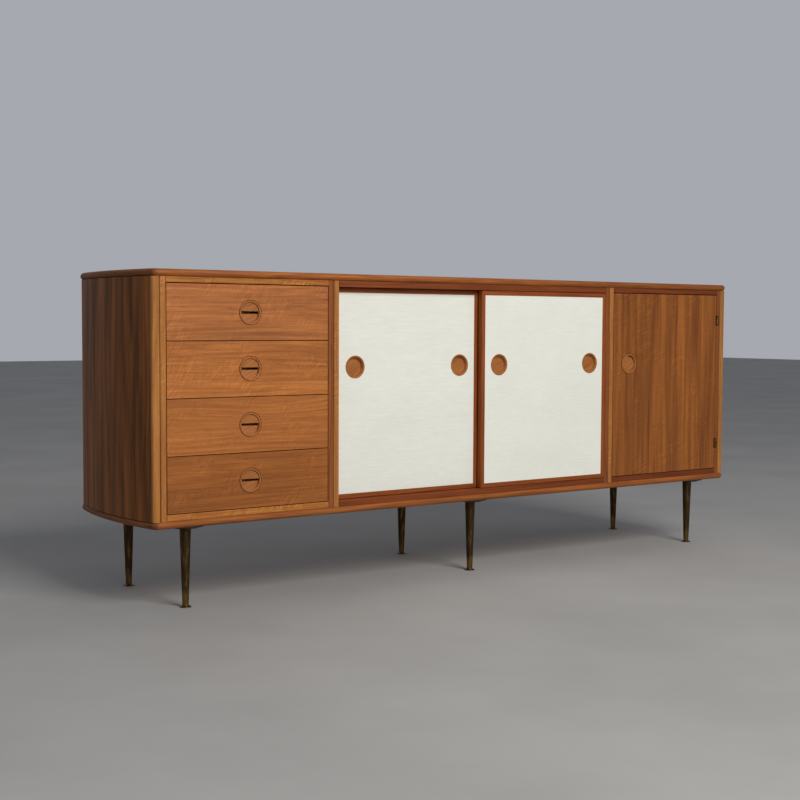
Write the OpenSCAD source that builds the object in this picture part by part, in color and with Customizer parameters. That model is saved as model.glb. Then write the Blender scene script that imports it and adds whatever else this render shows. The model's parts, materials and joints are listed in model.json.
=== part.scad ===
// Sideboard with four drawers, two sliding doors and one hinged door, on six tapered metal legs.
// The origin is on the floor in the middle of the footprint. +Z is up and the front faces -Y.

/* [Overall size] */
// Width over the bowed ends
overall_w = 2000; // [1640:10:2600]
// Depth of the top and bottom slabs
overall_d = 430; // [340:5:560]
// Height of the case, from the underside of the bottom slab to the top
case_h = 606; // [480:2:760]
// Height of the legs, from the floor to the bottom slab
leg_h = 200; // [120:5:300]
// How far each end bows out beyond its corners
bow = 24; // [12:1:50]

/* [Slabs] */
// Thickness of the top slab
top_t = 17.5; // [12:0.5:24]
// Thickness of the bottom slab
bottom_t = 17; // [12:1:24]
// Width of the solid lipping round each slab, and radius of its corners
lipping_w = 12; // [10:1:20]
// How far the slabs stand out past the front of the case
overhang = 5; // [4:0.5:12]
// How far the slabs stand out past the ends of the case
end_overhang = 1; // [0.5:0.5:6]
// How far the slabs stand out past the case at the back
rear_overhang = 14; // [2:1:20]

/* [Case] */
// Thickness of each upright panel
upright_t = 16; // [12:1:22]
// Clear width of the drawer bay and of the hinged door bay
side_bay_w = 446; // [360:2:560]
// Thickness of the boards over the two side bays
side_top_t = 13.5; // [12:0.5:20]
// Thickness of the grooved board over the sliding doors
centre_top_t = 15.5; // [14:0.5:24]
// Thickness of the floor board of each bay
floor_t = 15; // [12:1:20]
// Thickness of the back panel
back_t = 6; // [4:1:10]
// Half width of the groove between two neighbouring front edges
reed_w = 0.5; // [0.5:0.5:2]
// Depth of the groove between two neighbouring front edges
reed_d = 5; // [4:1:12]
// Radius of the eased front edges
edge_r = 3; // [1.5:0.5:5]

/* [Ends] */
// Width of a front corner post on the front face
post_w = 17; // [12:1:24]
// Radius of the outer edge of a front corner post
post_r = 6; // [3:0.5:8]
// Depth of a rear corner post
rear_post_d = 20; // [12:1:36]
// Thickness of the curved end panels
end_panel_t = 10; // [6:1:12]

/* [Fronts] */
// Thickness of the drawer fronts and the hinged door
front_t = 18; // [16:1:22]
// Gap above and below the drawer fronts and the hinged door
front_gap = 2; // [1:0.5:4]
// Gap at each side of the drawer fronts and the hinged door
side_gap = 1.5; // [1:0.5:3]
// How far the fronts sit back from the front edges of the case
front_recess = 1.5; // [1:0.5:4]

/* [Drawers] */
// Thickness of the drawer sides
drawer_side_t = 12; // [10:1:16]
// Thickness of the drawer backs
drawer_back_t = 10; // [8:1:14]
// Thickness of the drawer bottoms
drawer_bottom_t = 5; // [3:1:8]
// How much lower the drawer sides are than the fronts, above and below together
drawer_side_drop = 14; // [10:1:30]
// Space between a closed drawer and the back panel
drawer_back_space = 20; // [5:5:60]
// How deep the dovetails and the bottom sit in the drawer front
drawer_lap = 12; // [8:1:14]
// Height of the wooden runner strips
runner_h = 11; // [8:1:16]
// How far a runner enters the groove in the drawer side
runner_reach = 4.5; // [3:0.5:6]
// Clearance round a runner in its groove
runner_clear = 0.5; // [0.3:0.1:1]

/* [Sliding doors] */
// Thickness of the sliding doors
slider_t = 17; // [15:1:20]
// Space between the two sliding doors
slider_gap = 3; // [2:0.5:6]
// How far the front sliding door sits back from the case edges
slider_recess = 1; // [0.5:0.5:4]
// Face width of the door frames
frame_w = 12; // [10:1:40]
// How far the door panel sits in the rebate of its frame
frame_rebate = 5; // [3:1:8]
// How far the cloth lies back from the frame
cloth_recess = 1; // [0.5:0.5:3]
// Thickness of the cloth covering
cloth_t = 1; // [0.8:0.2:2]
// How far the two closed doors overlap
slider_overlap = 1; // [0:1:30]
// Thickness of the tongues that run in the grooves
tongue_t = 6; // [4:1:8]
// Distance from a door's end to the end of its tongues
tongue_inset = 20; // [10:1:40]
// Depth of the upper grooves
upper_groove_d = 10; // [8:1:12]
// Depth of the lower grooves
lower_groove_d = 5; // [3:1:8]
// Clearance on each side of a tongue in its groove
groove_clear = 0.5; // [0.3:0.1:1]

/* [Pulls] */
// Outer diameter of the turned pulls
pull_d = 60; // [50:1:70]
// Width of the pull's flange outside its pocket
pull_flange_w = 2; // [1:0.5:4]
// How far the rim of a pull stands proud
pull_proud = 1; // [0.5:0.5:1.5]
// Depth of the sliding doors' pulls in their pockets
dish_depth = 11; // [8:1:12]
// Depth of the drawer and hinged door pulls in their pockets
bowl_depth = 14; // [11:1:15]
// Distance of the sliding doors' pulls from the door ends
slider_pull_inset = 62; // [45:1:90]
// Height of the sliding doors' pulls below the top
slider_pull_drop = 236; // [150:1:300]
// Distance of the hinged door's pull from the door's free edge
door_pull_inset = 64; // [45:1:90]
// Height of the hinged door's pull below the top
door_pull_drop = 240; // [150:1:300]

/* [Hinges] */
// Outer radius of the hinge knuckles
knuckle_r = 5.5; // [4:0.5:6]
// Length of the three knuckles together
knuckle_l = 24; // [20:1:40]
// Radius of the hinge pins
hinge_pin_r = 1.5; // [1:0.25:2]
// Running clearance of the door knuckle on its pin
hinge_clear = 0.05; // [0.02:0.01:0.09]
// Thickness of the hinge leaves
leaf_t = 1.2; // [0.8:0.1:1.4]
// Depth of the hinge leaves behind the pin
leaf_d = 17; // [12:1:18]
// Distance of the hinges from the top and bottom of the door
hinge_inset = 78; // [50:1:140]

/* [Shelves] */
// Thickness of the shelves
shelf_t = 16; // [12:1:20]
// Height of the shelves above the bay floors
shelf_rise = 262; // [150:1:350]
// Diameter of the shelf pins
shelf_pin_d = 6; // [4:1:8]

/* [Legs] */
// Distance of the end legs from the corners of the slab
leg_inset_x = 104.5; // [70:0.5:200]
// Distance of the legs from the front and back of the slab
leg_inset_y = 53.4; // [50:0.2:90]
// Diameter at the top of a leg
leg_top_d = 27.5; // [20:0.5:40]
// Diameter at the bottom of a leg
leg_bottom_d = 15.5; // [10:0.5:24]
// Diameter of the foot disc
foot_d = 28.5; // [18:0.5:40]
// Height of the foot, from the floor to the end of the leg tube
foot_h = 5; // [4:0.5:12]
// Diameter of the mounting plate under the slab
plate_d = 94; // [80:1:110]
// Thickness of the mounting plate
plate_t = 3; // [2:0.5:5]
// Diameter of the threaded boss under the plate
boss_d = 68; // [50:1:76]
// Thickness of the threaded boss
boss_t = 4; // [3:0.5:8]

/* [Hidden] */
$fn = 64;
arc_fn = 720;
// How far a cutter reaches past the face that it cuts
over = 1;
// Thickness of the skin by which a cone starts ahead of its face
skin = 0.01;
// How far two shapes of one piece run into each other
weld = 1;

// Case: heights
case_z = leg_h + bottom_t;
top_z = leg_h + case_h;
under_top_z = top_z - top_t;
floor_z = case_z + floor_t;
side_top_z = under_top_z - side_top_t;
centre_top_z = under_top_z - centre_top_t;
upright_h = under_top_z - case_z;

// Case: plan
corner_x = overall_w / 2 - bow;
case_x = corner_x - end_overhang;
post_in_x = case_x - post_w;
side_bay_out_x = post_in_x - upright_t;
side_bay_in_x = side_bay_out_x - side_bay_w;
centre_bay_x = side_bay_in_x - 2 * upright_t;
front_y = -overall_d / 2 + overhang;
back_y = overall_d / 2 - rear_overhang;
inner_back_y = back_y - back_t;
board_d = inner_back_y - front_y;

// Bowed ends: every arc shares the centre of the slab's end arc
end_r = (pow(overall_d / 2, 2) + pow(bow, 2)) / (2 * bow);
end_cx = overall_w / 2 - end_r;
end_panel_r = end_r - end_overhang;

// Front corner posts: the outer edge ends where the curved end panel begins
post_back = 4;
front_post_d = reed_d + post_back;
post_out_x = end_cx + sqrt(pow(end_panel_r, 2) - pow(front_y + front_post_d, 2));
front_post_w = post_out_x - post_in_x;

// Lipping corners
lip_y = overall_d / 2 - lipping_w;
lip_r = end_r - lipping_w;
lip_a = asin(lip_y / lip_r);
lip_x = end_cx + lip_r * cos(lip_a);
nose_over = 0.5;
lip_joint = 0.05;
lip_joint_a = atan(lip_joint / lip_r);
lip_fit = 0.01;

// Drawers, counted from the top
drawer_count = 4;
front_w = side_bay_w - 2 * side_gap;
front_face_y = front_y + front_recess;
front_back_y = front_face_y + front_t;
bay_h = side_top_z - floor_z;
drawer_pitch = (bay_h - front_gap) / drawer_count;
drawer_front_h = drawer_pitch - front_gap;
drawer_side_h = drawer_front_h - drawer_side_drop;
drawer_side_rise = drawer_side_drop / 2;
drawer_end_y = inner_back_y - drawer_back_space;
drawer_x0 = -side_bay_out_x + side_gap;
bottom_rise = 8;
bottom_groove = 5;
tail_count = 4;
tail_root = 0.42;
tail_tip = 0.6;
runner_w = side_gap + runner_reach;
runner_start = 16;
runner_end = 6;
groove_start = 12;
drawer_x_mid = -(side_bay_out_x + side_bay_in_x) / 2;

// Sliding doors
slider_floor_gap = 1;
slider_top_gap = 1.5;
slider_end_gap = 0.5;
slider_w = centre_bay_x - slider_end_gap + slider_overlap / 2;
slider_z0 = floor_z + slider_floor_gap;
slider_z1 = centre_top_z - slider_top_gap;
slider_h = slider_z1 - slider_z0;
front_track_y = front_y + slider_recess;
rear_track_y = front_track_y + slider_t + slider_gap;
tongue_y = (slider_t - tongue_t) / 2;
lower_tongue_space = 1;
upper_tongue_space = 2;
lower_tongue_h = slider_floor_gap + lower_groove_d - lower_tongue_space;
upper_tongue_h = slider_top_gap + upper_groove_d - upper_tongue_space;
track_end_space = 2;
track_stop = tongue_inset - track_end_space;
panel_clear = 0.2;
panel_flange_t = 5;
panel_back_recess = 2;

// Pulls
pull_r = pull_d / 2;
pull_body_r = pull_r - pull_flange_w;
pull_z = top_z - slider_pull_drop;
door_pull_z = top_z - door_pull_drop;
lip_t = 4;
lip_back = 1.2;
lip_edge = 1.5;
dish_mouth_r = pull_r - 2.5;
dish_wall_r = pull_r - 4.5;
dish_floor_r = pull_r - 9;
dish_floor_t = 3;
bowl_r = pull_r - 5;
bowl_floor_t = 2.5;
scoop_a = 18;

// Hinged door
door_x0 = side_bay_in_x + side_gap;
door_x1 = side_bay_out_x - side_gap;
door_z0 = floor_z + front_gap;
door_z1 = side_top_z - front_gap;
knuckle_skin = 0.3;
hinge_out = knuckle_r - side_gap - leaf_t - knuckle_skin;
hinge_x = side_bay_out_x + hinge_out;
knuckle_set_back = 0.1;
hinge_y = -overall_d / 2 + knuckle_r + knuckle_set_back;
frame_leaf_x = -hinge_out;
door_leaf_x = -hinge_out - side_gap - leaf_t;
hinge_zs = [door_z0 + hinge_inset, door_z1 - hinge_inset];
scallop_clear = 0.5;
scallop_r = knuckle_r + scallop_clear;
pin_hole_clear = 0.5;
leaf_slot_clear = 1;
knuckle_gap = 0.2;
finial_h = 3;
finial_r = knuckle_r + 0.5;

// Door stop
stop_w = 40;
stop_d = 14;
stop_h = 12;
stop_inset = 20;
stop_clear = 0.3;

// Shelves
shelf_z = floor_z + shelf_rise;
shelf_gap = 0.5;
shelf_front_space = 6;
centre_shelf_y = rear_track_y + slider_t + shelf_front_space;
door_shelf_y = front_back_y + shelf_front_space;
pin_hole_d = 10;
pin_out = 8;
pin_inset = 45;
pin_fit = 0.1;

// Legs
leg_xs = [-(corner_x - leg_inset_x), 0, corner_x - leg_inset_x];
leg_y = overall_d / 2 - leg_inset_y;
leg_top_z = leg_h - plate_t - boss_t;
foot_rim_h = 2.5;
stud_d = 8;
stud_fit = 0.2;
stud_in = 9;
stud_end_space = 0.5;
stud_seat = 1;
stud_hole_d = stud_d + 2 * stud_fit;
foot_cone_in = 2;
leg_screw_r = (plate_d + boss_d) / 4;
leg_screw_d = 4;
leg_screw_head_d = 7;
leg_screw_l = 13;
leg_screw_head_h = plate_t - 1;
screw_fit = 0.1;

// Back panel screws
back_screw_d = 3.5;
back_screw_head_d = 7;
back_screw_head_h = 2;
back_screw_l = 20;
back_screw_rows = 4;
back_screw_inset = 40;
back_screw_pitch = (upright_h - 2 * back_screw_inset) / (back_screw_rows - 1);
back_screw_zs = [
    for (i = [0 : back_screw_rows - 1]) case_z + back_screw_inset + i * back_screw_pitch
];
back_screw_xs = [
    for (side = [-1, 1])
        for (x = [side_bay_out_x + upright_t / 2, side_bay_in_x - upright_t / 2])
            side * x
];

// ---- Shared shapes ----

// Puts the children on both sides of the middle of the sideboard
module both_sides() {
    children();
    mirror([1, 0, 0]) children();
}

// Turns a flat outline drawn as (y, z) into a bar of length l along +X
module along_x(l) {
    rotate([90, 0, 90])
        linear_extrude(l) children();
}

// Cylinder along +X
module rod_x(r, l) {
    rotate([0, 90, 0]) cylinder(h = l, r = r);
}

// Rectangle whose two corners at y = 0 are rounded
module eased_rect(w, d, r) {
    translate([0, r]) square([w, d - r]);
    translate([r, 0]) square([w - 2 * r, r]);
    for (x = [r, w - r])
        translate([x, r]) circle(r);
}

// Section of the lipping: flat towards the slab, rounded on the outside
module nose_section(t) {
    nose_r = t / 2 + nose_over;
    intersection() {
        square([lipping_w, t]);
        union() {
            square([lipping_w - nose_r, t]);
            translate([lipping_w - nose_r, t / 2]) circle(nose_r);
        }
    }
}

// Slab inside its lipping: a rectangle with a bowed segment at each end
module slab(t) {
    linear_extrude(t) {
        square([2 * (lip_x - weld), 2 * lip_y], center = true);
        for (turn = [0, 180])
            rotate(turn)
                intersection() {
                    translate([end_cx, 0]) circle(lip_r - lip_fit, $fn = arc_fn);
                    translate([lip_x - 2 * weld, -lip_y]) square([2 * (bow + weld), 2 * lip_y]);
                }
    }
}

// Lipping round a slab: two straights, two bowed ends and four corners, with hairline joints
module lipping(t) {
    for (turn = [0, 180])
        rotate([0, 0, turn])
            translate([-lip_x + lip_joint, lip_y, 0])
                along_x(2 * (lip_x - lip_joint)) nose_section(t);
    both_sides() {
        translate([end_cx, 0, 0])
            rotate([0, 0, -lip_a + lip_joint_a])
                rotate_extrude(angle = 2 * (lip_a - lip_joint_a), $fn = arc_fn)
                    translate([lip_r, 0]) nose_section(t);
        for (corner = [[-lip_y, -90], [lip_y, lip_a]])
            translate([lip_x, corner[0], 0])
                rotate([0, 0, corner[1]])
                    rotate_extrude(angle = 90 - lip_a) nose_section(t);
    }
}

// Upright panel with its bay face at x = 0 and its neighbour at x = upright_t
module upright() {
    linear_extrude(upright_h) {
        eased_rect(upright_t - reed_w, reed_d, edge_r);
        translate([0, reed_d]) square([upright_t, board_d - reed_d]);
    }
}

// Upright whose bay face is at x = face_x and whose bay lies on side -1 or +1 of it
module upright_at(face_x, bay_side) {
    translate([face_x, front_y, case_z])
        mirror([bay_side > 0 ? 1 : 0, 0, 0]) upright();
}

// Board across a bay from x0, with its front edge eased
module bay_board(x0, z0, w, t) {
    translate([x0, front_y, z0])
        along_x(w)
            mirror([1, -1]) eased_rect(t, board_d, edge_r / 2);
}

// ---- Slabs ----

module top_panel() {
    color("peru")
        translate([0, 0, under_top_z]) slab(top_t);
}

module top_lipping() {
    color("sienna")
        translate([0, 0, under_top_z]) lipping(top_t);
}

// The studs of the legs enter the bottom slab from below
module bottom_panel() {
    color("peru")
        difference() {
            translate([0, 0, leg_h]) slab(bottom_t);
            at_legs([-1, 1])
                translate([0, 0, leg_h - over])
                    cylinder(h = stud_in + stud_end_space + over, d = stud_hole_d);
            at_legs([-1, 1])
                leg_screw_holes();
        }
}

module bottom_lipping() {
    color("sienna")
        translate([0, 0, leg_h]) lipping(bottom_t);
}

// ---- Case ----

// Upright of a side bay, with holes for the screws of the back panel
module screwed_upright(face_x, bay_side) {
    difference() {
        upright_at(face_x, bay_side);
        at_back_screws() back_screw(screw_fit);
    }
}

module drawer_bay_side_left() {
    color("chocolate") screwed_upright(-side_bay_out_x, 1);
}

module drawer_bay_side_right() {
    color("chocolate") screwed_upright(-side_bay_in_x, -1);
}

module centre_bay_side_left() {
    color("chocolate")
        difference() {
            upright_at(-centre_bay_x, 1);
            centre_pins(pin_fit);
        }
}

module centre_bay_side_right() {
    color("chocolate")
        difference() {
            upright_at(centre_bay_x, -1);
            centre_pins(pin_fit);
        }
}

module door_bay_side_left() {
    color("chocolate")
        difference() {
            screwed_upright(side_bay_in_x, 1);
            door_bay_pins(pin_fit);
        }
}

// The hinges are let into this side
module door_bay_side_right() {
    color("chocolate")
        difference() {
            screwed_upright(side_bay_out_x, -1);
            door_bay_pins(pin_fit);
            at_hinges() {
                hinge_scallop();
                translate([frame_leaf_x, 0, -knuckle_l / 2]) cube([leaf_t, leaf_d, knuckle_l]);
            }
        }
}

module side_bay_tops() {
    color("peru")
        both_sides()
            bay_board(side_bay_in_x, side_top_z, side_bay_w, side_top_t);
}

module side_bay_floors() {
    color("peru")
        both_sides()
            bay_board(side_bay_in_x, case_z, side_bay_w, floor_t);
}

// Stopped grooves for the tongues of both sliding doors
module track_grooves(z0, depth) {
    for (y = [front_track_y, rear_track_y])
        translate([-centre_bay_x + track_stop, y + tongue_y - groove_clear, z0])
            cube([2 * (centre_bay_x - track_stop), tongue_t + 2 * groove_clear, depth]);
}

module centre_bay_top() {
    color("peru")
        difference() {
            bay_board(-centre_bay_x, centre_top_z, 2 * centre_bay_x, centre_top_t);
            track_grooves(centre_top_z - over, upper_groove_d + over);
        }
}

module centre_bay_floor() {
    color("peru")
        difference() {
            bay_board(-centre_bay_x, case_z, 2 * centre_bay_x, floor_t);
            track_grooves(floor_z - lower_groove_d, lower_groove_d + over);
        }
}

module back_panel() {
    color("tan")
        difference() {
            translate([-post_in_x, inner_back_y, case_z])
                cube([2 * post_in_x, back_t, upright_h]);
            at_back_screws() back_screw(screw_fit);
        }
}

module at_back_screws() {
    for (x = back_screw_xs, z = back_screw_zs)
        translate([x, back_y, z]) rotate([90, 0, 0]) children();
}

// Countersunk screw pointing along +Z from its head
module countersunk(head_d, head_h, shank_d, l, extra) {
    translate([0, 0, -skin])
        cylinder(h = head_h + skin, r1 = head_d / 2 + extra, r2 = shank_d / 2 + extra);
    cylinder(h = l + extra, r = shank_d / 2 + extra);
}

module back_screw(extra) {
    countersunk(back_screw_head_d, back_screw_head_h, back_screw_d, back_screw_l, extra);
}

module back_screws() {
    color("goldenrod")
        at_back_screws() back_screw(0);
}

// Plan of the outer skin of the right-hand end, thick enough to hold the post or panel
module end_band(t) {
    intersection() {
        translate([end_cx, 0])
            difference() {
                circle(end_panel_r, $fn = arc_fn);
                circle(end_panel_r - t, $fn = arc_fn);
            }
        translate([post_in_x, front_y + front_post_d])
            square([overall_w, back_y - rear_post_d - front_y - front_post_d]);
    }
}

module end_panel() {
    translate([0, 0, case_z])
        linear_extrude(upright_h) end_band(end_panel_t);
}

module end_panel_right() {
    color("saddlebrown") end_panel();
}

module end_panel_left() {
    color("saddlebrown")
        mirror([1, 0, 0]) end_panel();
}

// Solid posts cover the front edges of the curved end panels
module front_corner_posts() {
    color("peru")
        both_sides()
            translate([post_in_x, front_y, case_z])
                linear_extrude(upright_h) {
                    translate([0, reed_d])
                        square([front_post_w, post_back]);
                    translate([reed_w, edge_r])
                        square([edge_r, reed_d + weld - edge_r]);
                    translate([reed_w + edge_r, edge_r])
                        circle(edge_r);
                    translate([reed_w + edge_r, 0])
                        square([front_post_w - post_r - reed_w - edge_r, reed_d + weld]);
                    intersection() {
                        translate([front_post_w - post_r, post_r]) circle(post_r);
                        square([front_post_w, post_r]);
                    }
                    translate([front_post_w - 2 * post_r, post_r])
                        square([2 * post_r, front_post_d - post_r]);
                }
}

module rear_corner_posts() {
    color("peru")
        both_sides()
            translate([post_in_x, back_y - rear_post_d, case_z])
                linear_extrude(upright_h)
                    intersection() {
                        translate([post_w + edge_r, rear_post_d])
                            rotate(180) eased_rect(post_w + edge_r, rear_post_d, edge_r);
                        translate([end_cx - post_in_x, rear_post_d - back_y])
                            circle(end_panel_r, $fn = arc_fn);
                    }
}

// ---- Shelves ----

module shelf(x0, x1, y0) {
    translate([x0 + shelf_gap, y0, shelf_z])
        along_x(x1 - x0 - 2 * shelf_gap)
            mirror([1, -1]) eased_rect(shelf_t, inner_back_y - y0, edge_r / 2);
}

module centre_shelf() {
    color("burlywood") shelf(-centre_bay_x, centre_bay_x, centre_shelf_y);
}

module door_bay_shelf() {
    color("burlywood") shelf(side_bay_in_x, side_bay_out_x, door_shelf_y);
}

// Shelf pins at both faces of a bay, made larger by extra to cut their holes
module bay_pins(x0, x1, y0, extra) {
    for (y = [y0 + pin_inset, inner_back_y - pin_inset], z = [shelf_z - shelf_pin_d / 2]) {
        translate([x0 - pin_hole_d, y, z])
            rod_x(shelf_pin_d / 2 + extra, pin_hole_d + pin_out);
        translate([x1 - pin_out, y, z])
            rod_x(shelf_pin_d / 2 + extra, pin_hole_d + pin_out);
    }
}

module centre_pins(extra) {
    bay_pins(-centre_bay_x, centre_bay_x, centre_shelf_y, extra);
}

module door_bay_pins(extra) {
    bay_pins(side_bay_in_x, side_bay_out_x, door_shelf_y, extra);
}

module shelf_pins() {
    color("goldenrod") {
        centre_pins(0);
        door_bay_pins(0);
    }
}

// ---- Legs ----

// Places the children at the legs of the given rows, -1 in front and +1 behind
module at_legs(rows) {
    for (x = leg_xs, row = rows)
        translate([x, row * leg_y, 0]) children();
}

// Tapered tube with the threaded stud that joins it to the slab
module leg() {
    translate([0, 0, foot_h])
        cylinder(h = leg_top_z - foot_h, d1 = leg_bottom_d, d2 = leg_top_d);
    translate([0, 0, leg_top_z - stud_seat])
        cylinder(h = leg_h + stud_in - leg_top_z + stud_seat, d = stud_d);
}

module front_legs() {
    color("darkgoldenrod") at_legs([-1]) leg();
}

module rear_legs() {
    color("darkgoldenrod") at_legs([1]) leg();
}

// Foot disc with a cone that meets the leg tube
module leg_feet() {
    color("darkgoldenrod")
        at_legs([-1, 1]) {
            cylinder(h = foot_rim_h, d = foot_d);
            translate([0, 0, foot_rim_h])
                cylinder(h = foot_h - foot_rim_h, d1 = foot_d - 2 * foot_cone_in, d2 = leg_bottom_d);
        }
}

module leg_plates() {
    color("dimgray")
        difference() {
            at_legs([-1, 1])
                translate([0, 0, leg_h - plate_t])
                    difference() {
                        cylinder(h = plate_t, d = plate_d);
                        translate([0, 0, -over]) cylinder(h = plate_t + 2 * over, d = stud_hole_d);
                    }
            at_legs([-1, 1]) leg_screw_holes();
        }
}

module leg_bosses() {
    color("black")
        at_legs([-1, 1])
            translate([0, 0, leg_top_z])
                difference() {
                    cylinder(h = boss_t, d = boss_d);
                    translate([0, 0, -over]) cylinder(h = boss_t + 2 * over, d = stud_hole_d);
                }
}

// Four screws through each mounting plate, outside its boss
module at_leg_screws() {
    for (a = [45 : 90 : 315])
        rotate([0, 0, a])
            translate([leg_screw_r, 0, leg_h - plate_t]) children();
}

module leg_screw_holes() {
    at_leg_screws()
        countersunk(leg_screw_head_d, leg_screw_head_h, leg_screw_d, leg_screw_l, screw_fit);
}

module leg_screws() {
    color("silver")
        at_legs([-1, 1]) at_leg_screws()
            countersunk(leg_screw_head_d, leg_screw_head_h, leg_screw_d, leg_screw_l, 0);
}

// ---- Pulls: drawn with the rim in the plane y = 0, facing -Y, centred on the origin ----

// Turns a profile drawn as (radius, depth) about the pull's axis
module turned() {
    rotate([-90, 0, 0])
        rotate_extrude() children();
}

// Outside of a pull: a proud rim with a rounded edge over a plain body
module pull_blank(depth) {
    turned() {
        translate([0, -pull_proud]) square([pull_r - pull_proud, pull_proud]);
        intersection() {
            translate([pull_r - pull_proud, 0]) circle(pull_proud);
            translate([pull_r - pull_proud, -pull_proud]) square([pull_proud, pull_proud]);
        }
        translate([0, -pull_proud]) square([pull_body_r, depth + pull_proud]);
    }
}

// Pocket for a pull in the piece behind it
module pull_pocket(depth) {
    turned()
        translate([0, -over]) square([pull_body_r, depth + over]);
}

// Flat-bottomed dish with a sloping wall
module dish_pull() {
    difference() {
        pull_blank(dish_depth);
        turned()
            polygon([
                [0, -pull_proud - over], [dish_mouth_r, -pull_proud - over], [dish_wall_r, 0],
                [dish_floor_r, dish_depth - dish_floor_t], [0, dish_depth - dish_floor_t]
            ]);
    }
}

// Bowl whose upper half is covered by a finger lip, with a floor that slopes up to the lower rim
module lipped_pull() {
    difference() {
        pull_blank(bowl_depth);
        turned()
            translate([0, -pull_proud - over]) square([bowl_r, pull_proud + over + lip_back]);
        difference() {
            turned() square([bowl_r, bowl_depth - bowl_floor_t]);
            translate([-pull_r, lip_back, lip_edge]) cube([pull_d, lip_t, pull_r]);
            translate([-pull_r, bowl_depth - bowl_floor_t, 0])
                rotate([scoop_a, 0, 0])
                    translate([0, 0, -pull_d]) cube([pull_d, bowl_depth, pull_d]);
        }
    }
}

// ---- Drawers: n counts from 0 at the top ----

function drawer_z(n) = side_top_z - (n + 1) * drawer_pitch;

// Tails on the front end of a drawer side, seen from the side
module tail_outlines() {
    step = drawer_side_h / tail_count;
    for (i = [0 : tail_count - 1])
        translate([0, (i + 0.5) * step])
            polygon([
                [0, -tail_root * step / 2], [-drawer_lap, -tail_tip * step / 2],
                [-drawer_lap, tail_tip * step / 2], [0, tail_root * step / 2]
            ]);
}

module drawer_front(n) {
    z0 = drawer_z(n);
    difference() {
        translate([drawer_x0, front_face_y, z0])
            cube([front_w, front_t, drawer_front_h]);
        translate([drawer_x_mid, front_face_y, z0 + drawer_front_h / 2])
            pull_pocket(bowl_depth);
        for (x = [drawer_x0 - over, drawer_x0 + front_w - drawer_side_t])
            translate([x, front_back_y, z0 + drawer_side_rise])
                along_x(drawer_side_t + over) tail_outlines();
        drawer_bottom_space(n);
    }
}

// Space of the drawer bottom with the grooves that hold it
module drawer_bottom_space(n) {
    translate([
        drawer_x0 + drawer_side_t - bottom_groove,
        front_back_y - bottom_groove,
        drawer_z(n) + drawer_side_rise + bottom_rise
    ])
        cube([
            front_w - 2 * (drawer_side_t - bottom_groove),
            drawer_end_y - front_back_y + bottom_groove,
            drawer_bottom_t
        ]);
}

// Two sides and the back, with a groove outside for the runners
module drawer_box(n) {
    z0 = drawer_z(n) + drawer_side_rise;
    side_l = drawer_end_y - front_back_y;
    groove_h = runner_h + 2 * runner_clear;
    difference() {
        union() {
            for (x = [drawer_x0, drawer_x0 + front_w - drawer_side_t])
                translate([x, front_back_y, z0]) {
                    cube([drawer_side_t, side_l, drawer_side_h]);
                    along_x(drawer_side_t) tail_outlines();
                }
            translate([
                drawer_x0 + drawer_side_t,
                drawer_end_y - drawer_back_t,
                z0 + bottom_rise + drawer_bottom_t
            ])
                cube([
                    front_w - 2 * drawer_side_t,
                    drawer_back_t,
                    drawer_side_h - bottom_rise - drawer_bottom_t
                ]);
        }
        for (x = [
            drawer_x0 - over,
            drawer_x0 + front_w - runner_reach - runner_clear
        ])
            translate([
                x,
                front_back_y + groove_start,
                z0 + (drawer_side_h - groove_h) / 2
            ])
                cube([runner_reach + runner_clear + over, side_l, groove_h]);
        drawer_bottom_space(n);
    }
}

module drawer_bottom(n) {
    drawer_bottom_space(n);
}

module drawer_pull(n) {
    translate([drawer_x_mid, front_face_y, drawer_z(n) + drawer_front_h / 2])
        lipped_pull();
}

module drawer_runners() {
    color("burlywood")
        for (n = [0 : drawer_count - 1], x = [-side_bay_out_x, -side_bay_in_x - runner_w])
            translate([
                x,
                front_back_y + runner_start,
                drawer_z(n) + drawer_side_rise + (drawer_side_h - runner_h) / 2
            ])
                cube([runner_w, inner_back_y - runner_end - front_back_y - runner_start, runner_h]);
}

module drawer_1_front() { color("peru") drawer_front(0); }
module drawer_1_box() { color("burlywood") drawer_box(0); }
module drawer_1_bottom() { color("wheat") drawer_bottom(0); }
module drawer_1_pull() { color("sienna") drawer_pull(0); }
module drawer_2_front() { color("peru") drawer_front(1); }
module drawer_2_box() { color("burlywood") drawer_box(1); }
module drawer_2_bottom() { color("wheat") drawer_bottom(1); }
module drawer_2_pull() { color("sienna") drawer_pull(1); }
module drawer_3_front() { color("peru") drawer_front(2); }
module drawer_3_box() { color("burlywood") drawer_box(2); }
module drawer_3_bottom() { color("wheat") drawer_bottom(2); }
module drawer_3_pull() { color("sienna") drawer_pull(2); }
module drawer_4_front() { color("peru") drawer_front(3); }
module drawer_4_box() { color("burlywood") drawer_box(3); }
module drawer_4_bottom() { color("wheat") drawer_bottom(3); }
module drawer_4_pull() { color("sienna") drawer_pull(3); }

// ---- Sliding doors: drawn with a corner of the door at the origin, then put in their tracks ----

module in_left_track() {
    translate([-centre_bay_x + slider_end_gap, rear_track_y, slider_z0]) children();
}

module in_right_track() {
    translate([centre_bay_x - slider_end_gap - slider_w, front_track_y, slider_z0]) children();
}

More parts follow.
